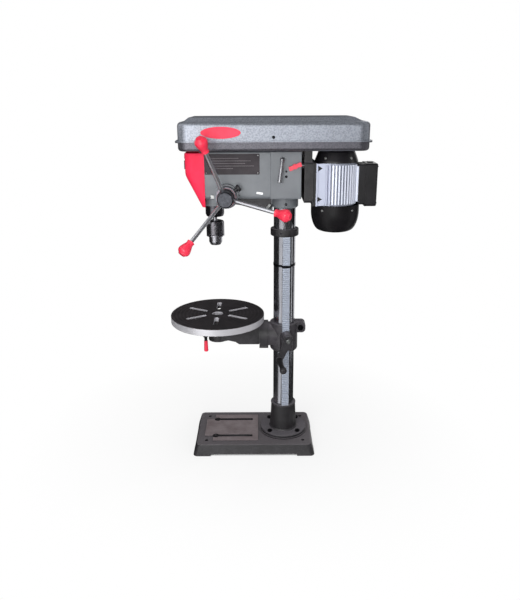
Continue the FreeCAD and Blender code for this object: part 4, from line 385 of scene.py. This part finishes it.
def motor_metal():
    """Bright die-cast aluminium, darkened between the fins as painted shade, on a black spacer
    against the plate.
    """
    f = Finish("motor_metal")
    axes = f.axes()
    cast, fine = f.noise(380, 4.0, 0.65), f.noise(1900, 2.0)
    base = f.blend(f.ramp(cast, 0.3, 0.7), colour(206, 211, 226), colour(226, 231, 244))
    past_panel = f.above(axes["X"], PANEL_END)
    # Painted shade: the roots between the fins, past the flat panel, are darkened for the shade in
    # the grooves.
    painted_groove_shade = f.product(f.ramp(f.away((MOTOR_X, 0.0)), FIN_TIP, FIN_ROOT), past_panel)
    base = f.blend(f.product(painted_groove_shade, 0.85), base, colour(104, 108, 122))
    panel = f.sum("SUBTRACT", 1.0, past_panel)
    base = f.blend(f.product(panel, 0.8), base, colour(160, 165, 184))
    recess = f.product(f.sum("LESS_THAN", f.size(axes["Y"]), RECESS_HALF),
                       f.below(axes["X"], RECESS_END))
    dark = f.sum("MAXIMUM", recess, f.below(axes["X"], SPACER_END, 0.0002))
    base = f.blend(dark, base, colour(22, 20, 23))
    metal = f.product(f.sum("SUBTRACT", 1.0, dark), 0.3)
    height = f.sum("ADD", cast, f.product(fine, 0.3))
    return f.finish(base, f.ramp(cast, 0.3, 0.7, 0.40, 0.54), f.bump(height, 0.00016), metal)


# Each finish as its dark tone, its light tone and then what its kind takes
GUARD_PAINTS = {
    "hammer_paint": ((128, 132, 140), (164, 169, 180), (110, 113, 120)),
    # Painted shade: the pan's tones are the lid's hammer paint darkened for the shade on the pan, the
    # same paint as the lid.
    "pan_paint": ((84, 83, 89), (108, 107, 115), (72, 71, 77)),
}
PLAIN_IRONS = {
    "black_iron": ((28, 27, 30), (44, 42, 46), (98, 95, 100)),
    "socket_iron": ((20, 19, 21), (32, 30, 33), (120, 116, 122)),
    "bracket_iron": ((40, 38, 42), (60, 57, 62), (112, 108, 114)),
}
PLAIN_METALS = {
    "rack_steel": ((150, 156, 168), (196, 203, 216), 0.42, 500, 0.5),
    "chrome": ((206, 208, 214), (230, 231, 237), 0.24, 700, 1.0, 0.000002),
    "bright_steel": ((150, 150, 154), (206, 207, 212), 0.24, 600, 1.0, 0.000004),
    "zinc": ((168, 170, 170), (206, 208, 206), 0.28, 500),
    "black_oxide": ((24, 24, 27), (46, 46, 50), 0.30, 300),
}
ON_FEED, ON_SPINDLE = (("X", "Z"), (FEED_X, FEED_Z)), (("X", "Y"), (SPINDLE_X, 0.0))
TURNED_METALS = {
    "hub_steel": ((70, 71, 76), (96, 98, 104), 0.36, *ON_FEED),
    "ring_steel": ((104, 106, 112), (140, 143, 150), 0.32, *ON_FEED),
    "chuck_steel": ((126, 125, 130), (150, 149, 155), 0.20, *ON_SPINDLE, 0.0007, 0.000001),
    "nose_steel": ((176, 176, 182), (206, 206, 213), 0.22, *ON_SPINDLE, 0.0007, 0.000001),
    "quill_steel": ((88, 87, 92), (112, 111, 117), 0.22, *ON_SPINDLE, 0.0012, 0.000002),
    "pulley_metal": ((150, 152, 156), (190, 192, 196), 0.34),
}
MOULDINGS = {
    "motor_black": ((14, 13, 16), (24, 22, 26), 0.30, 900, 0.00006, 0.2),
    "fan_black": ((12, 11, 13), (20, 18, 21), 0.36, 900, 0.00006, 0.0, 0.22),
    "red_plastic": ((206, 32, 60), (222, 44, 72), 0.30, 900, 0.00003, 0.15),
    "red_cover": ((216, 34, 66), (228, 42, 76), 0.50, 1100, 0.00004, 0.0, 0.15),
    "stop_red": ((120, 16, 30), (146, 22, 38), 0.30),
    "black_plastic": ((22, 21, 24), (38, 36, 40), 0.40),
    "rubber": ((20, 20, 21), (33, 32, 33), 0.66, 400, 0.0001),
    "plate_print": ((48, 43, 47), (58, 53, 57), 0.50, 500, 0.00001, 0.0, 0.2),
    "label_white": ((232, 232, 236), (246, 246, 250), 0.55, 300),
    "line_grey": ((120, 112, 116), (140, 132, 136), 0.5, 300),
    "badge_red": ((214, 38, 66), (226, 50, 78), 0.45, 600, 0.00002, 0.0, 0.3),
    "scale_red": ((196, 60, 70), (214, 76, 84), 0.5, 300),
}


def make_finishes():
    """Every material by name."""
    made = {name: hammer_paint(name, *recipe) for name, recipe in GUARD_PAINTS.items()}
    made["head_paint"] = head_paint()
    made.update({name: plain_iron(name, *recipe) for name, recipe in PLAIN_IRONS.items()})
    made["base_iron"] = base_iron()
    made["table_iron"] = table_iron()
    made["column_steel"] = drawn_steel("column_steel", (140, 140, 146), (196, 197, 204), 0.13)
    made.update({name: plain_metal(name, *recipe) for name, recipe in PLAIN_METALS.items()})
    made.update({name: turned_metal(name, *recipe) for name, recipe in TURNED_METALS.items()})
    made["motor_metal"] = motor_metal()
    made.update({name: moulded(name, *recipe) for name, recipe in MOULDINGS.items()})
    return made


FINISHES = make_finishes()

NODE_FINISHES = {
    "base": "base_iron", "column_support": "socket_iron", "column_support_bolts": "black_oxide",
    "column": "column_steel", "rack_collar": "socket_iron", "column_rack": "rack_steel",
    "rack_band": "black_oxide", "table_bracket": "bracket_iron", "bracket_bolts": "black_oxide",
    "lift_pinion": "bright_steel", "crank_worm_shaft": "zinc", "crank_arm": "black_iron",
    "crank_grip": "black_plastic", "table_arm": "black_iron", "table": "table_iron",
    "table_lock_lever": "black_oxide", "table_lock_grip": "red_plastic",
    "head_casting": "head_paint", "set_screws": "black_oxide", "front_cover": "red_cover",
    "power_switch": "black_plastic", "stop_button": "stop_red", "spec_plate": "plate_print",
    "depth_pointer": "zinc", "tension_lever": "bright_steel", "slide_lock_knob": "red_plastic",
    "quill": "quill_steel", "quill_bearings": "bright_steel", "spindle": "bright_steel",
    "drive_sleeve": "bright_steel", "drive_sleeve_bearing": "bright_steel",
    "chuck_body": "chuck_steel", "chuck_sleeve": "nose_steel", "chuck_jaw_1": "bright_steel",
    "chuck_jaw_2": "bright_steel", "chuck_jaw_3": "bright_steel", "feed_shaft": "bright_steel",
    "feed_hub": "hub_steel", "feed_spokes": "chrome", "feed_knobs": "red_plastic",
    "depth_ring": "ring_steel", "depth_lock_knob": "black_plastic",
    "return_spring_housing": "black_oxide", "return_spring": "bright_steel",
    "idler_arm": "zinc", "motor_plate": "socket_iron", "slide_rods": "bright_steel",
    "motor_body": "motor_metal", "motor_rotor": "bright_steel", "motor_top_bell": "motor_black",
    "motor_fan_cover": "fan_black", "junction_box": "motor_black", "cable_gland": "black_plastic",
    "guard_pan": "pan_paint", "guard_lid": "hammer_paint", "lid_hinges": "zinc",
    "drive_belts": "rubber", "spindle_pulley": "pulley_metal", "idler_pulley": "pulley_metal",
    "motor_pulley": "pulley_metal",
}
# Widths of the eased edges of castings and mouldings, in millimetres
SOFT_EDGES = {
    "base": 1.6, "column_support": 1.2, "table_bracket": 1.6, "table_arm": 1.6, "crank_arm": 1.4,
    "head_casting": 0.9, "motor_plate": 1.0, "junction_box": 0.8, "power_switch": 0.5,
    "depth_pointer": 0.6, "rack_band": 0.2, "spec_plate": 0.1,
}


def dress_nodes():
    """Give every CAD node its finish, smooth its curved faces and ease its cast edges."""
    for name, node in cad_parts.items():
        node.data.materials.clear()
        node.data.materials.append(FINISHES[NODE_FINISHES[name]])
        node.data.shade_smooth()
        node.data.set_sharp_from_angle(angle=SMOOTH_ANGLE)
        if name in SOFT_EDGES:
            bevel = node.modifiers.new("ease", "BEVEL")
            bevel.width = SOFT_EDGES[name] * MM
            bevel.segments = 2
            bevel.limit_method = "ANGLE"
            bevel.angle_limit = math.radians(40)
            bevel.harden_normals = True


# ------------------------------------------------------------------ mesh helpers
def new_piece(name, mesh, finish, body):
    """A bmesh as a finished object that rides on a CAD body."""
    data = finished_mesh(name, mesh)
    data.shade_smooth()
    data.set_sharp_from_angle(angle=SMOOTH_ANGLE)
    piece = bpy.data.objects.new(name, data)
    bpy.context.scene.collection.objects.link(piece)
    piece.data.materials.append(FINISHES[finish])
    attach(piece, body)


def aim(at, direction, spin=0.0):
    """The transform that takes local +Z to a direction at a point."""
    turn = Vector(direction).to_track_quat("Z", "Y").to_matrix().to_4x4()
    return Matrix.Translation(Vector(at)) @ turn @ Matrix.Rotation(spin, 4, "Z")


def oval_ring(into, across, along, height, sides, matrix):
    """One closed ring of vertices, or a single one where its radii are nought."""
    if not across:
        return [into.verts.new(matrix @ Vector((0, 0, height)))]
    ring = []
    for k in range(sides):
        angle = 2 * math.pi * k / sides
        point = Vector((across * math.cos(angle), along * math.sin(angle), height))
        ring.append(into.verts.new(matrix @ point))
    return ring


def skin(into, rings, sides):
    """Faces between each ring and the next."""
    for low, high in zip(rings[:-1], rings[1:]):
        for k in range(sides):
            after = (k + 1) % sides
            corners = [low[k % len(low)], low[after % len(low)],
                       high[after % len(high)], high[k % len(high)]]
            into.faces.new(list(dict.fromkeys(corners)))


def lathe(into, profile, matrix, sides=40):
    """Add a turned form to a bmesh: the profile gives (radius, height) from its bottom to its top."""
    rings = [oval_ring(into, radius, radius, height, sides, matrix) for radius, height in profile]
    skin(into, rings, sides)


def solid_box(into, low, high, matrix):
    """Add a box to a bmesh."""
    low, high = Vector(low), Vector(high)
    middle, span = (low + high) / 2, high - low
    for vert in bmesh.ops.create_cube(into, size=1.0)["verts"]:
        vert.co = matrix @ Vector([m + c * s for m, c, s in zip(middle, vert.co, span)])


def finished_mesh(name, mesh):
    """Turn a bmesh into mesh data with outward faces."""
    bmesh.ops.recalc_face_normals(mesh, faces=mesh.faces)
    data = bpy.data.meshes.new(name)
    mesh.to_mesh(data)
    mesh.free()
    return data


def turned_piece(name, profile, at, direction, finish, body, sides):
    mesh = bmesh.new()
    lathe(mesh, profile, aim(at, direction), sides)
    new_piece(name, mesh, finish, body)


# A round-head screw in shares of its head's radius: washer, dome, and the bars of its drive
WASHER = ((1.35, 0.0), (1.35, 0.12), (1.28, 0.18), (1.0, 0.18))
DOME = ((1.0, 0.1), (1.0, 0.35), (0.92, 0.6), (0.72, 0.78), (0.56, 0.84), (0.50, 0.62), (0.0, 0.60))
CROSS, SLOT = ((0.95, 0.16), (0.16, 0.95)), ((0.98, 0.16),)
DRIVE_LOW, DRIVE_HIGH = 0.60, 0.66
SCREW_SPIN = 0.4
SCREW_SIDES = 32


def screw(name, at, direction, finish, body, radius, bars=CROSS):
    """A domed head with a sunk cross or a slot, on a thin washer."""
    mesh = bmesh.new()
    matrix = aim(at, direction, SCREW_SPIN)
    for profile in (WASHER, DOME):
        lathe(mesh, [(across * radius, up * radius) for across, up in profile], matrix, SCREW_SIDES)
    for length, width in bars:
        low = (-length * radius * 0.5, -width * radius * 0.5, DRIVE_LOW * radius)
        high = (length * radius * 0.5, width * radius * 0.5, DRIVE_HIGH * radius)
        solid_box(mesh, low, high, matrix)
    new_piece(name, mesh, finish, body)


# ------------------------------------------------------------------ head details
HEAD_SIDE, PLATE_FACE = -0.0622, -0.0626
LINE_DEPTH, LINE_SUNK = 0.00012, 0.0002
# Ruled lines on the data plate: drop below its top, then start and end as shares of its length
PLATE_LINES = ((0.012, 0.10, 0.62), (0.019, 0.10, 0.84), (0.026, 0.10, 0.74), (0.033, 0.10, 0.90),
               (0.040, 0.10, 0.52))
LINE_WIDTH = 0.0006
PIN_INSET = 0.0045
PIN_HEAD = ((0.0017, 0.0), (0.0016, 0.0005), (0.0010, 0.0009), (0.0, 0.0010))
LABEL_AT, LABEL_TILT = (-0.074, HEAD_SIDE, 0.822), math.radians(8)
LABEL_HALF = (0.009, 0.0028)
LOCK_BOLT = ((0.0070, -0.004), (0.0070, 0.020), (0.0064, 0.0212), (0.0042, 0.0212), (0.0040, 0.0180),
             (0.0, 0.0178))
LOCK_BOLT_AT, LOCK_BOLT_WAY = (-0.0435, -0.0225, 0.780), (-0.62, 0, -0.78)


def plate_details():
    """The data plate's ruled lines and the pins at its corners."""
    low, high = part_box("spec_plate")
    span = high.x - low.x
    lines = bmesh.new()
    for drop, start, end in PLATE_LINES:
        top = high.z - drop
        solid_box(lines, (low.x + start * span, PLATE_FACE - LINE_DEPTH, top - LINE_WIDTH),
                  (low.x + end * span, PLATE_FACE + LINE_SUNK, top), Matrix())
    new_piece("spec_plate_rules", lines, "line_grey", "frame")
    left, right = low.x + PIN_INSET, high.x - PIN_INSET
    bottom, top = low.z + PIN_INSET, high.z - PIN_INSET
    corners = ((left, bottom), (left, top), (right, bottom), (right, top))
    for number, (x, z) in enumerate(corners, 1):
        turned_piece(f"spec_plate_pin_{number}", PIN_HEAD, (x, PLATE_FACE + 0.0001, z), -Y,
                     "zinc", "frame", 20)


def head_details():
    """Small parts on the head: the plate's lines and pins, a blank sticker and a lock bolt."""
    plate_details()
    sticker = bmesh.new()
    tilt = Matrix.Translation(LABEL_AT) @ Matrix.Rotation(LABEL_TILT, 4, "Y")
    across, up = LABEL_HALF
    solid_box(sticker, (-across, -LINE_DEPTH, -up), (across, LINE_SUNK, up), tilt)
    new_piece("blank_label", sticker, "label_white", "frame")
    turned_piece("head_lock_bolt", LOCK_BOLT, LOCK_BOLT_AT, LOCK_BOLT_WAY, "zinc", "frame", 6)


# ------------------------------------------------------------------ motor details
BELL_SCREW_TURNS = (-128, -52, 52, 128)
COVER_SCREW_REACH, COVER_SCREW_Z, COVER_SCREW_HEAD = 0.0705, 0.7705, 0.0026
BELL_SCREW_REACH, BELL_SCREW_Z, BELL_SCREW_HEAD, BELL_SLOPE = 0.0591, 0.9166, 0.0028, 0.38
BOX_SCREWS = ((-0.030, 0.788), (0.030, 0.788), (-0.030, 0.892), (0.030, 0.892))
BOX_SCREW_HEAD, BOX_SCREW_SUNK = 0.0026, 0.0002


def motor_details():
    """Screws that hold the motor's bells, its fan cover and its terminal box."""
    axis = Vector((MOTOR_X, 0, 0))
    for number, degrees in enumerate(BELL_SCREW_TURNS, 1):
        angle = math.radians(degrees)
        out = Vector((math.cos(angle), math.sin(angle), 0))
        at = axis + out * COVER_SCREW_REACH
        screw(f"fan_cover_screw_{number}", (at.x, at.y, COVER_SCREW_Z), out, "zinc",
              "motor_mount", COVER_SCREW_HEAD)
        at = axis + out * BELL_SCREW_REACH
        screw(f"top_bell_screw_{number}", (at.x, at.y, BELL_SCREW_Z), (out.x, out.y, BELL_SLOPE),
              "zinc", "motor_mount", BELL_SCREW_HEAD)
    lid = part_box("junction_box")[1].x - BOX_SCREW_SUNK
    for number, (y, z) in enumerate(BOX_SCREWS, 1):
        screw(f"box_lid_screw_{number}", (lid, y, z), X, "zinc", "motor_mount", BOX_SCREW_HEAD)


# ------------------------------------------------------------------ belt guard details
BADGE_X, BADGE_Z = -0.178, 0.9905
BADGE_ACROSS, BADGE_UP, BADGE_SIDES = 0.054, 0.0155, 72
# The badge's section from its edge to its middle: share of its size, and how proud it stands
BADGE_SECTION = ((1.0, 0.0), (0.995, 0.0005), (0.96, 0.0008), (0.90, 0.0006), (0.0, 0.0006))
RIM_TO_SIDE = 0.0075
LID_SCREW_X, LID_SCREW_Z, LID_SCREW_HEAD = -0.036, 0.9785, 0.0032
PAN_SCREWS = ((-0.160, -0.050), (-0.160, 0.050), (0.030, -0.052), (0.030, 0.050))
PAN_FLOOR, PAN_SCREW_HEAD = 0.9435, 0.0042


def guard_details():
    """The lid's plain oval badge and its side screw, and the screws that hold the pan."""
    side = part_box("guard_lid")[0].y + RIM_TO_SIDE
    outward = Matrix.Translation((BADGE_X, side, BADGE_Z)) @ Matrix.Rotation(math.pi / 2, 4, "X")
    badge = bmesh.new()
    rings = [oval_ring(badge, BADGE_ACROSS * share, BADGE_UP * share, proud, BADGE_SIDES, outward)
             for share, proud in BADGE_SECTION]
    skin(badge, rings, BADGE_SIDES)
    new_piece("lid_badge", badge, "badge_red", "guard_lid")
    screw("lid_screw", (LID_SCREW_X, side, LID_SCREW_Z), -Y, "black_oxide", "guard_lid",
          LID_SCREW_HEAD, SLOT)
    for number, (x, y) in enumerate(PAN_SCREWS, 1):
        screw(f"pan_screw_{number}", (x, y, PAN_FLOOR), Z, "zinc", "frame", PAN_SCREW_HEAD)


# ------------------------------------------------------------------ feed handle details
RING_MARKS, LONG_EVERY = 60, 5
LONG_MARK, SHORT_MARK, MARK_HALF = 0.0052, 0.0030, 0.00025
RIM_MARK_Y, RIM_MARK_LOW, RIM_MARK_HIGH = -0.1010, 0.02992, 0.03008
FACE_MARK_OUT, FACE_MARK_IN, FACE_MARK_FROM, FACE_MARK_SHARE = -0.10272, -0.10255, 0.0252, 0.6


def feed_details():
    """Graduations round the depth ring, on its rim and on its face."""
    marks = bmesh.new()
    for k in range(RING_MARKS):
        length = SHORT_MARK if k % LONG_EVERY else LONG_MARK
        angle = math.radians(360 / RING_MARKS * k)
        turn = Matrix.Translation((FEED_X, 0, FEED_Z)) @ Matrix.Rotation(angle, 4, "Y")
        solid_box(marks, (-MARK_HALF, RIM_MARK_Y, RIM_MARK_LOW),
                  (MARK_HALF, RIM_MARK_Y + length, RIM_MARK_HIGH), turn)
        solid_box(marks, (-MARK_HALF, FACE_MARK_OUT, FACE_MARK_FROM),
                  (MARK_HALF, FACE_MARK_IN, FACE_MARK_FROM + FACE_MARK_SHARE * length), turn)
    new_piece("depth_ring_marks", marks, "scale_red", "depth_ring")


# ------------------------------------------------------------------ floor and light
FILL = 0.42
FLOOR_RADIUS, FLOOR_DROP = 9.0, 0.0003
BASE_MIDDLE_X, BASE_HALF_X, BASE_HALF_Y = -0.096, 0.188, 0.112
# Each soft lamp: where it stands, what it looks at, its two sides and its power in watts
MACHINE_MIDDLE = (-0.06, 0.0, 0.62)
LAMPS = {
    "key": ((-1.15, -2.1, 1.55), (-0.1, 0, 0.75), (0.8, 1.3), 22),
    "fill": ((1.7, -1.7, 1.2), MACHINE_MIDDLE, (1.2, 1.6), 16),
    "top": ((-0.2, 0.1, 2.7), MACHINE_MIDDLE, (1.6, 1.2), 16),
    "flash": ((-0.33, -2.0, 0.92), (-0.1, 0, 0.95), (0.70, 0.6), 22),
}
# The room that only gloss sees, about its own middle. Turns are degrees from the -Y side to +X.
ROOM_X, ROOM_REACH, ROOM_TALL = -0.05, 0.78, 1.95
BENCH_LEVEL, BENCH_INNER = 0.002, 0.234
TURN_STEP = 2
CARD_TURNS = (-56, -22)
ROOM_GAPS = (CARD_TURNS, (82, 92), (122, 150))
ROOM_DARK = (0.02, 0.02, 0.021, 1)
# White cards: turns, and a profile of (reach, height). The first is bent onto the bench.
CARD_GLOW = 1.15
WHITE_CARDS = (
    (CARD_TURNS, ((0.10, 0.004), (0.80, 0.004), (0.80, ROOM_TALL))),
    ((-104, -76), ((0.77, 0.95), (0.77, 1.60))),
)


def stage_object(name, mesh):
    """A bmesh as an object that only sets the stage, with an empty finish to fill in."""
    data = finished_mesh(name, mesh)
    made = bpy.data.objects.new(name, data)
    bpy.context.scene.collection.objects.link(made)
    f = Finish(name)
    data.materials.append(f.material)
    return made, f


def surface_from(f, shader):
    f.plug(f.tree.nodes["Material Output"].inputs["Surface"], shader.outputs[0])


def make_floor():
    """A plain pale floor that fades to the white surround and keeps the machine's shadow."""
    mesh = bmesh.new()
    bmesh.ops.create_circle(mesh, cap_ends=True, segments=96, radius=FLOOR_RADIUS)
    floor, f = stage_object("floor", mesh)
    floor.location = (BASE_MIDDLE_X, 0, -FLOOR_DROP)
    f.finish((0.80, 0.80, 0.80, 1), 0.9)
    glow = f.node("Emission")
    glow.inputs["Color"].default_value = (1, 1, 1, 1)
    rays = f.node("LightPath")
    seen = f.sum("MAXIMUM", rays.outputs["Is Camera Ray"], rays.outputs["Is Glossy Ray"])
    seen = f.sum("MAXIMUM", seen, rays.outputs["Is Transmission Ray"])
    spread = f.ramp(f.away((0.0, 0.0)), 0.25, 0.75, 0.80, 1.0)
    axes = f.axes()
    beside = f.sum("MAXIMUM", f.sum("GREATER_THAN", f.size(axes["X"]), BASE_HALF_X),
                   f.sum("GREATER_THAN", f.size(axes["Y"]), BASE_HALF_Y))
    mixed = f.node("MixShader")
    f.plug(mixed.inputs[0], f.product(seen, spread, beside))
    f.plug(mixed.inputs[1], f.shader.outputs[0])
    f.plug(mixed.inputs[2], glow.outputs[0])
    surface_from(f, mixed)


def make_world():
    """White to the eye and to polished metal, and a dim even fill to everything else."""
    world = bpy.data.worlds.new("studio")
    bpy.context.scene.world = world
    world.use_nodes = True
    nodes, link = world.node_tree.nodes, world.node_tree.links.new
    rays = nodes.new("ShaderNodeLightPath").outputs
    first, second = nodes.new("ShaderNodeMath"), nodes.new("ShaderNodeMath")
    first.operation = second.operation = "MAXIMUM"
    link(rays["Is Camera Ray"], first.inputs[0])
    link(rays["Is Glossy Ray"], first.inputs[1])
    link(first.outputs[0], second.inputs[0])
    link(rays["Is Transmission Ray"], second.inputs[1])
    level = nodes.new("ShaderNodeMapRange")
    link(second.outputs[0], level.inputs["Value"])
    level.inputs["To Min"].default_value = FILL
    level.inputs["To Max"].default_value = 1.0
    back = nodes["Background"].inputs
    back["Color"].default_value = (1, 1, 1, 1)
    link(level.outputs["Result"], back["Strength"])


def make_lamp(name, at, towards, sides, power):
    """A rectangular soft lamp."""
    data = bpy.data.lights.new(name, "AREA")
    data.shape = "RECTANGLE"
    data.size, data.size_y = sides
    data.energy = power
    lamp = bpy.data.objects.new(name, data)
    bpy.context.scene.collection.objects.link(lamp)
    lamp.matrix_world = aim(at, Vector(at) - Vector(towards))


def add_sector(into, turn, start, end):
    """One narrow face of the room, from one (reach, height) to the next."""
    corners = ((turn, *start), (turn + TURN_STEP, *start), (turn + TURN_STEP, *end), (turn, *end))
    verts = []
    for at, reach, height in corners:
        angle = math.radians(at)
        point = (ROOM_X + reach * math.sin(angle), -reach * math.cos(angle), height)
        verts.append(into.verts.new(point))
    into.faces.new(verts)


def only_gloss_sees(panel):
    for sense in ("visible_camera", "visible_diffuse", "visible_shadow", "visible_transmission"):
        setattr(panel, sense, False)


def make_studio_walls():
    """A dark surround close about the machine, with a lid, a bench and upright gaps."""
    mesh = bmesh.new()
    for turn in range(-180, 180, TURN_STEP):
        if not any(low <= turn < high for low, high in ROOM_GAPS):
            add_sector(mesh, turn, (ROOM_REACH, 0.0), (ROOM_REACH, ROOM_TALL))
        if not CARD_TURNS[0] <= turn < CARD_TURNS[1]:
            add_sector(mesh, turn, (BENCH_INNER, BENCH_LEVEL), (ROOM_REACH, BENCH_LEVEL))
        add_sector(mesh, turn, (0.0, ROOM_TALL), (ROOM_REACH, ROOM_TALL))
    walls, f = stage_object("studio_walls", mesh)
    f.finish(ROOM_DARK, 0.9)
    only_gloss_sees(walls)


def make_white_cards():
    """The pale bands down the column and along the feed handle's lower spoke."""
    mesh = bmesh.new()
    for turns, profile in WHITE_CARDS:
        for turn in range(*turns, TURN_STEP):
            for start, end in zip(profile[:-1], profile[1:]):
                add_sector(mesh, turn, start, end)
    cards, f = stage_object("white_cards", mesh)
    glow = f.node("Emission")
    glow.inputs["Strength"].default_value = CARD_GLOW
    surface_from(f, glow)
    only_gloss_sees(cards)


# ------------------------------------------------------------------ the whole scene
make_camera()
dress_nodes()
head_details()
motor_details()
guard_details()
feed_details()
make_floor()
make_world()
make_studio_walls()
make_white_cards()
for lamp_name, lamp in LAMPS.items():
    make_lamp(lamp_name, *lamp)

bpy.context.scene.view_settings.view_transform = "Standard"
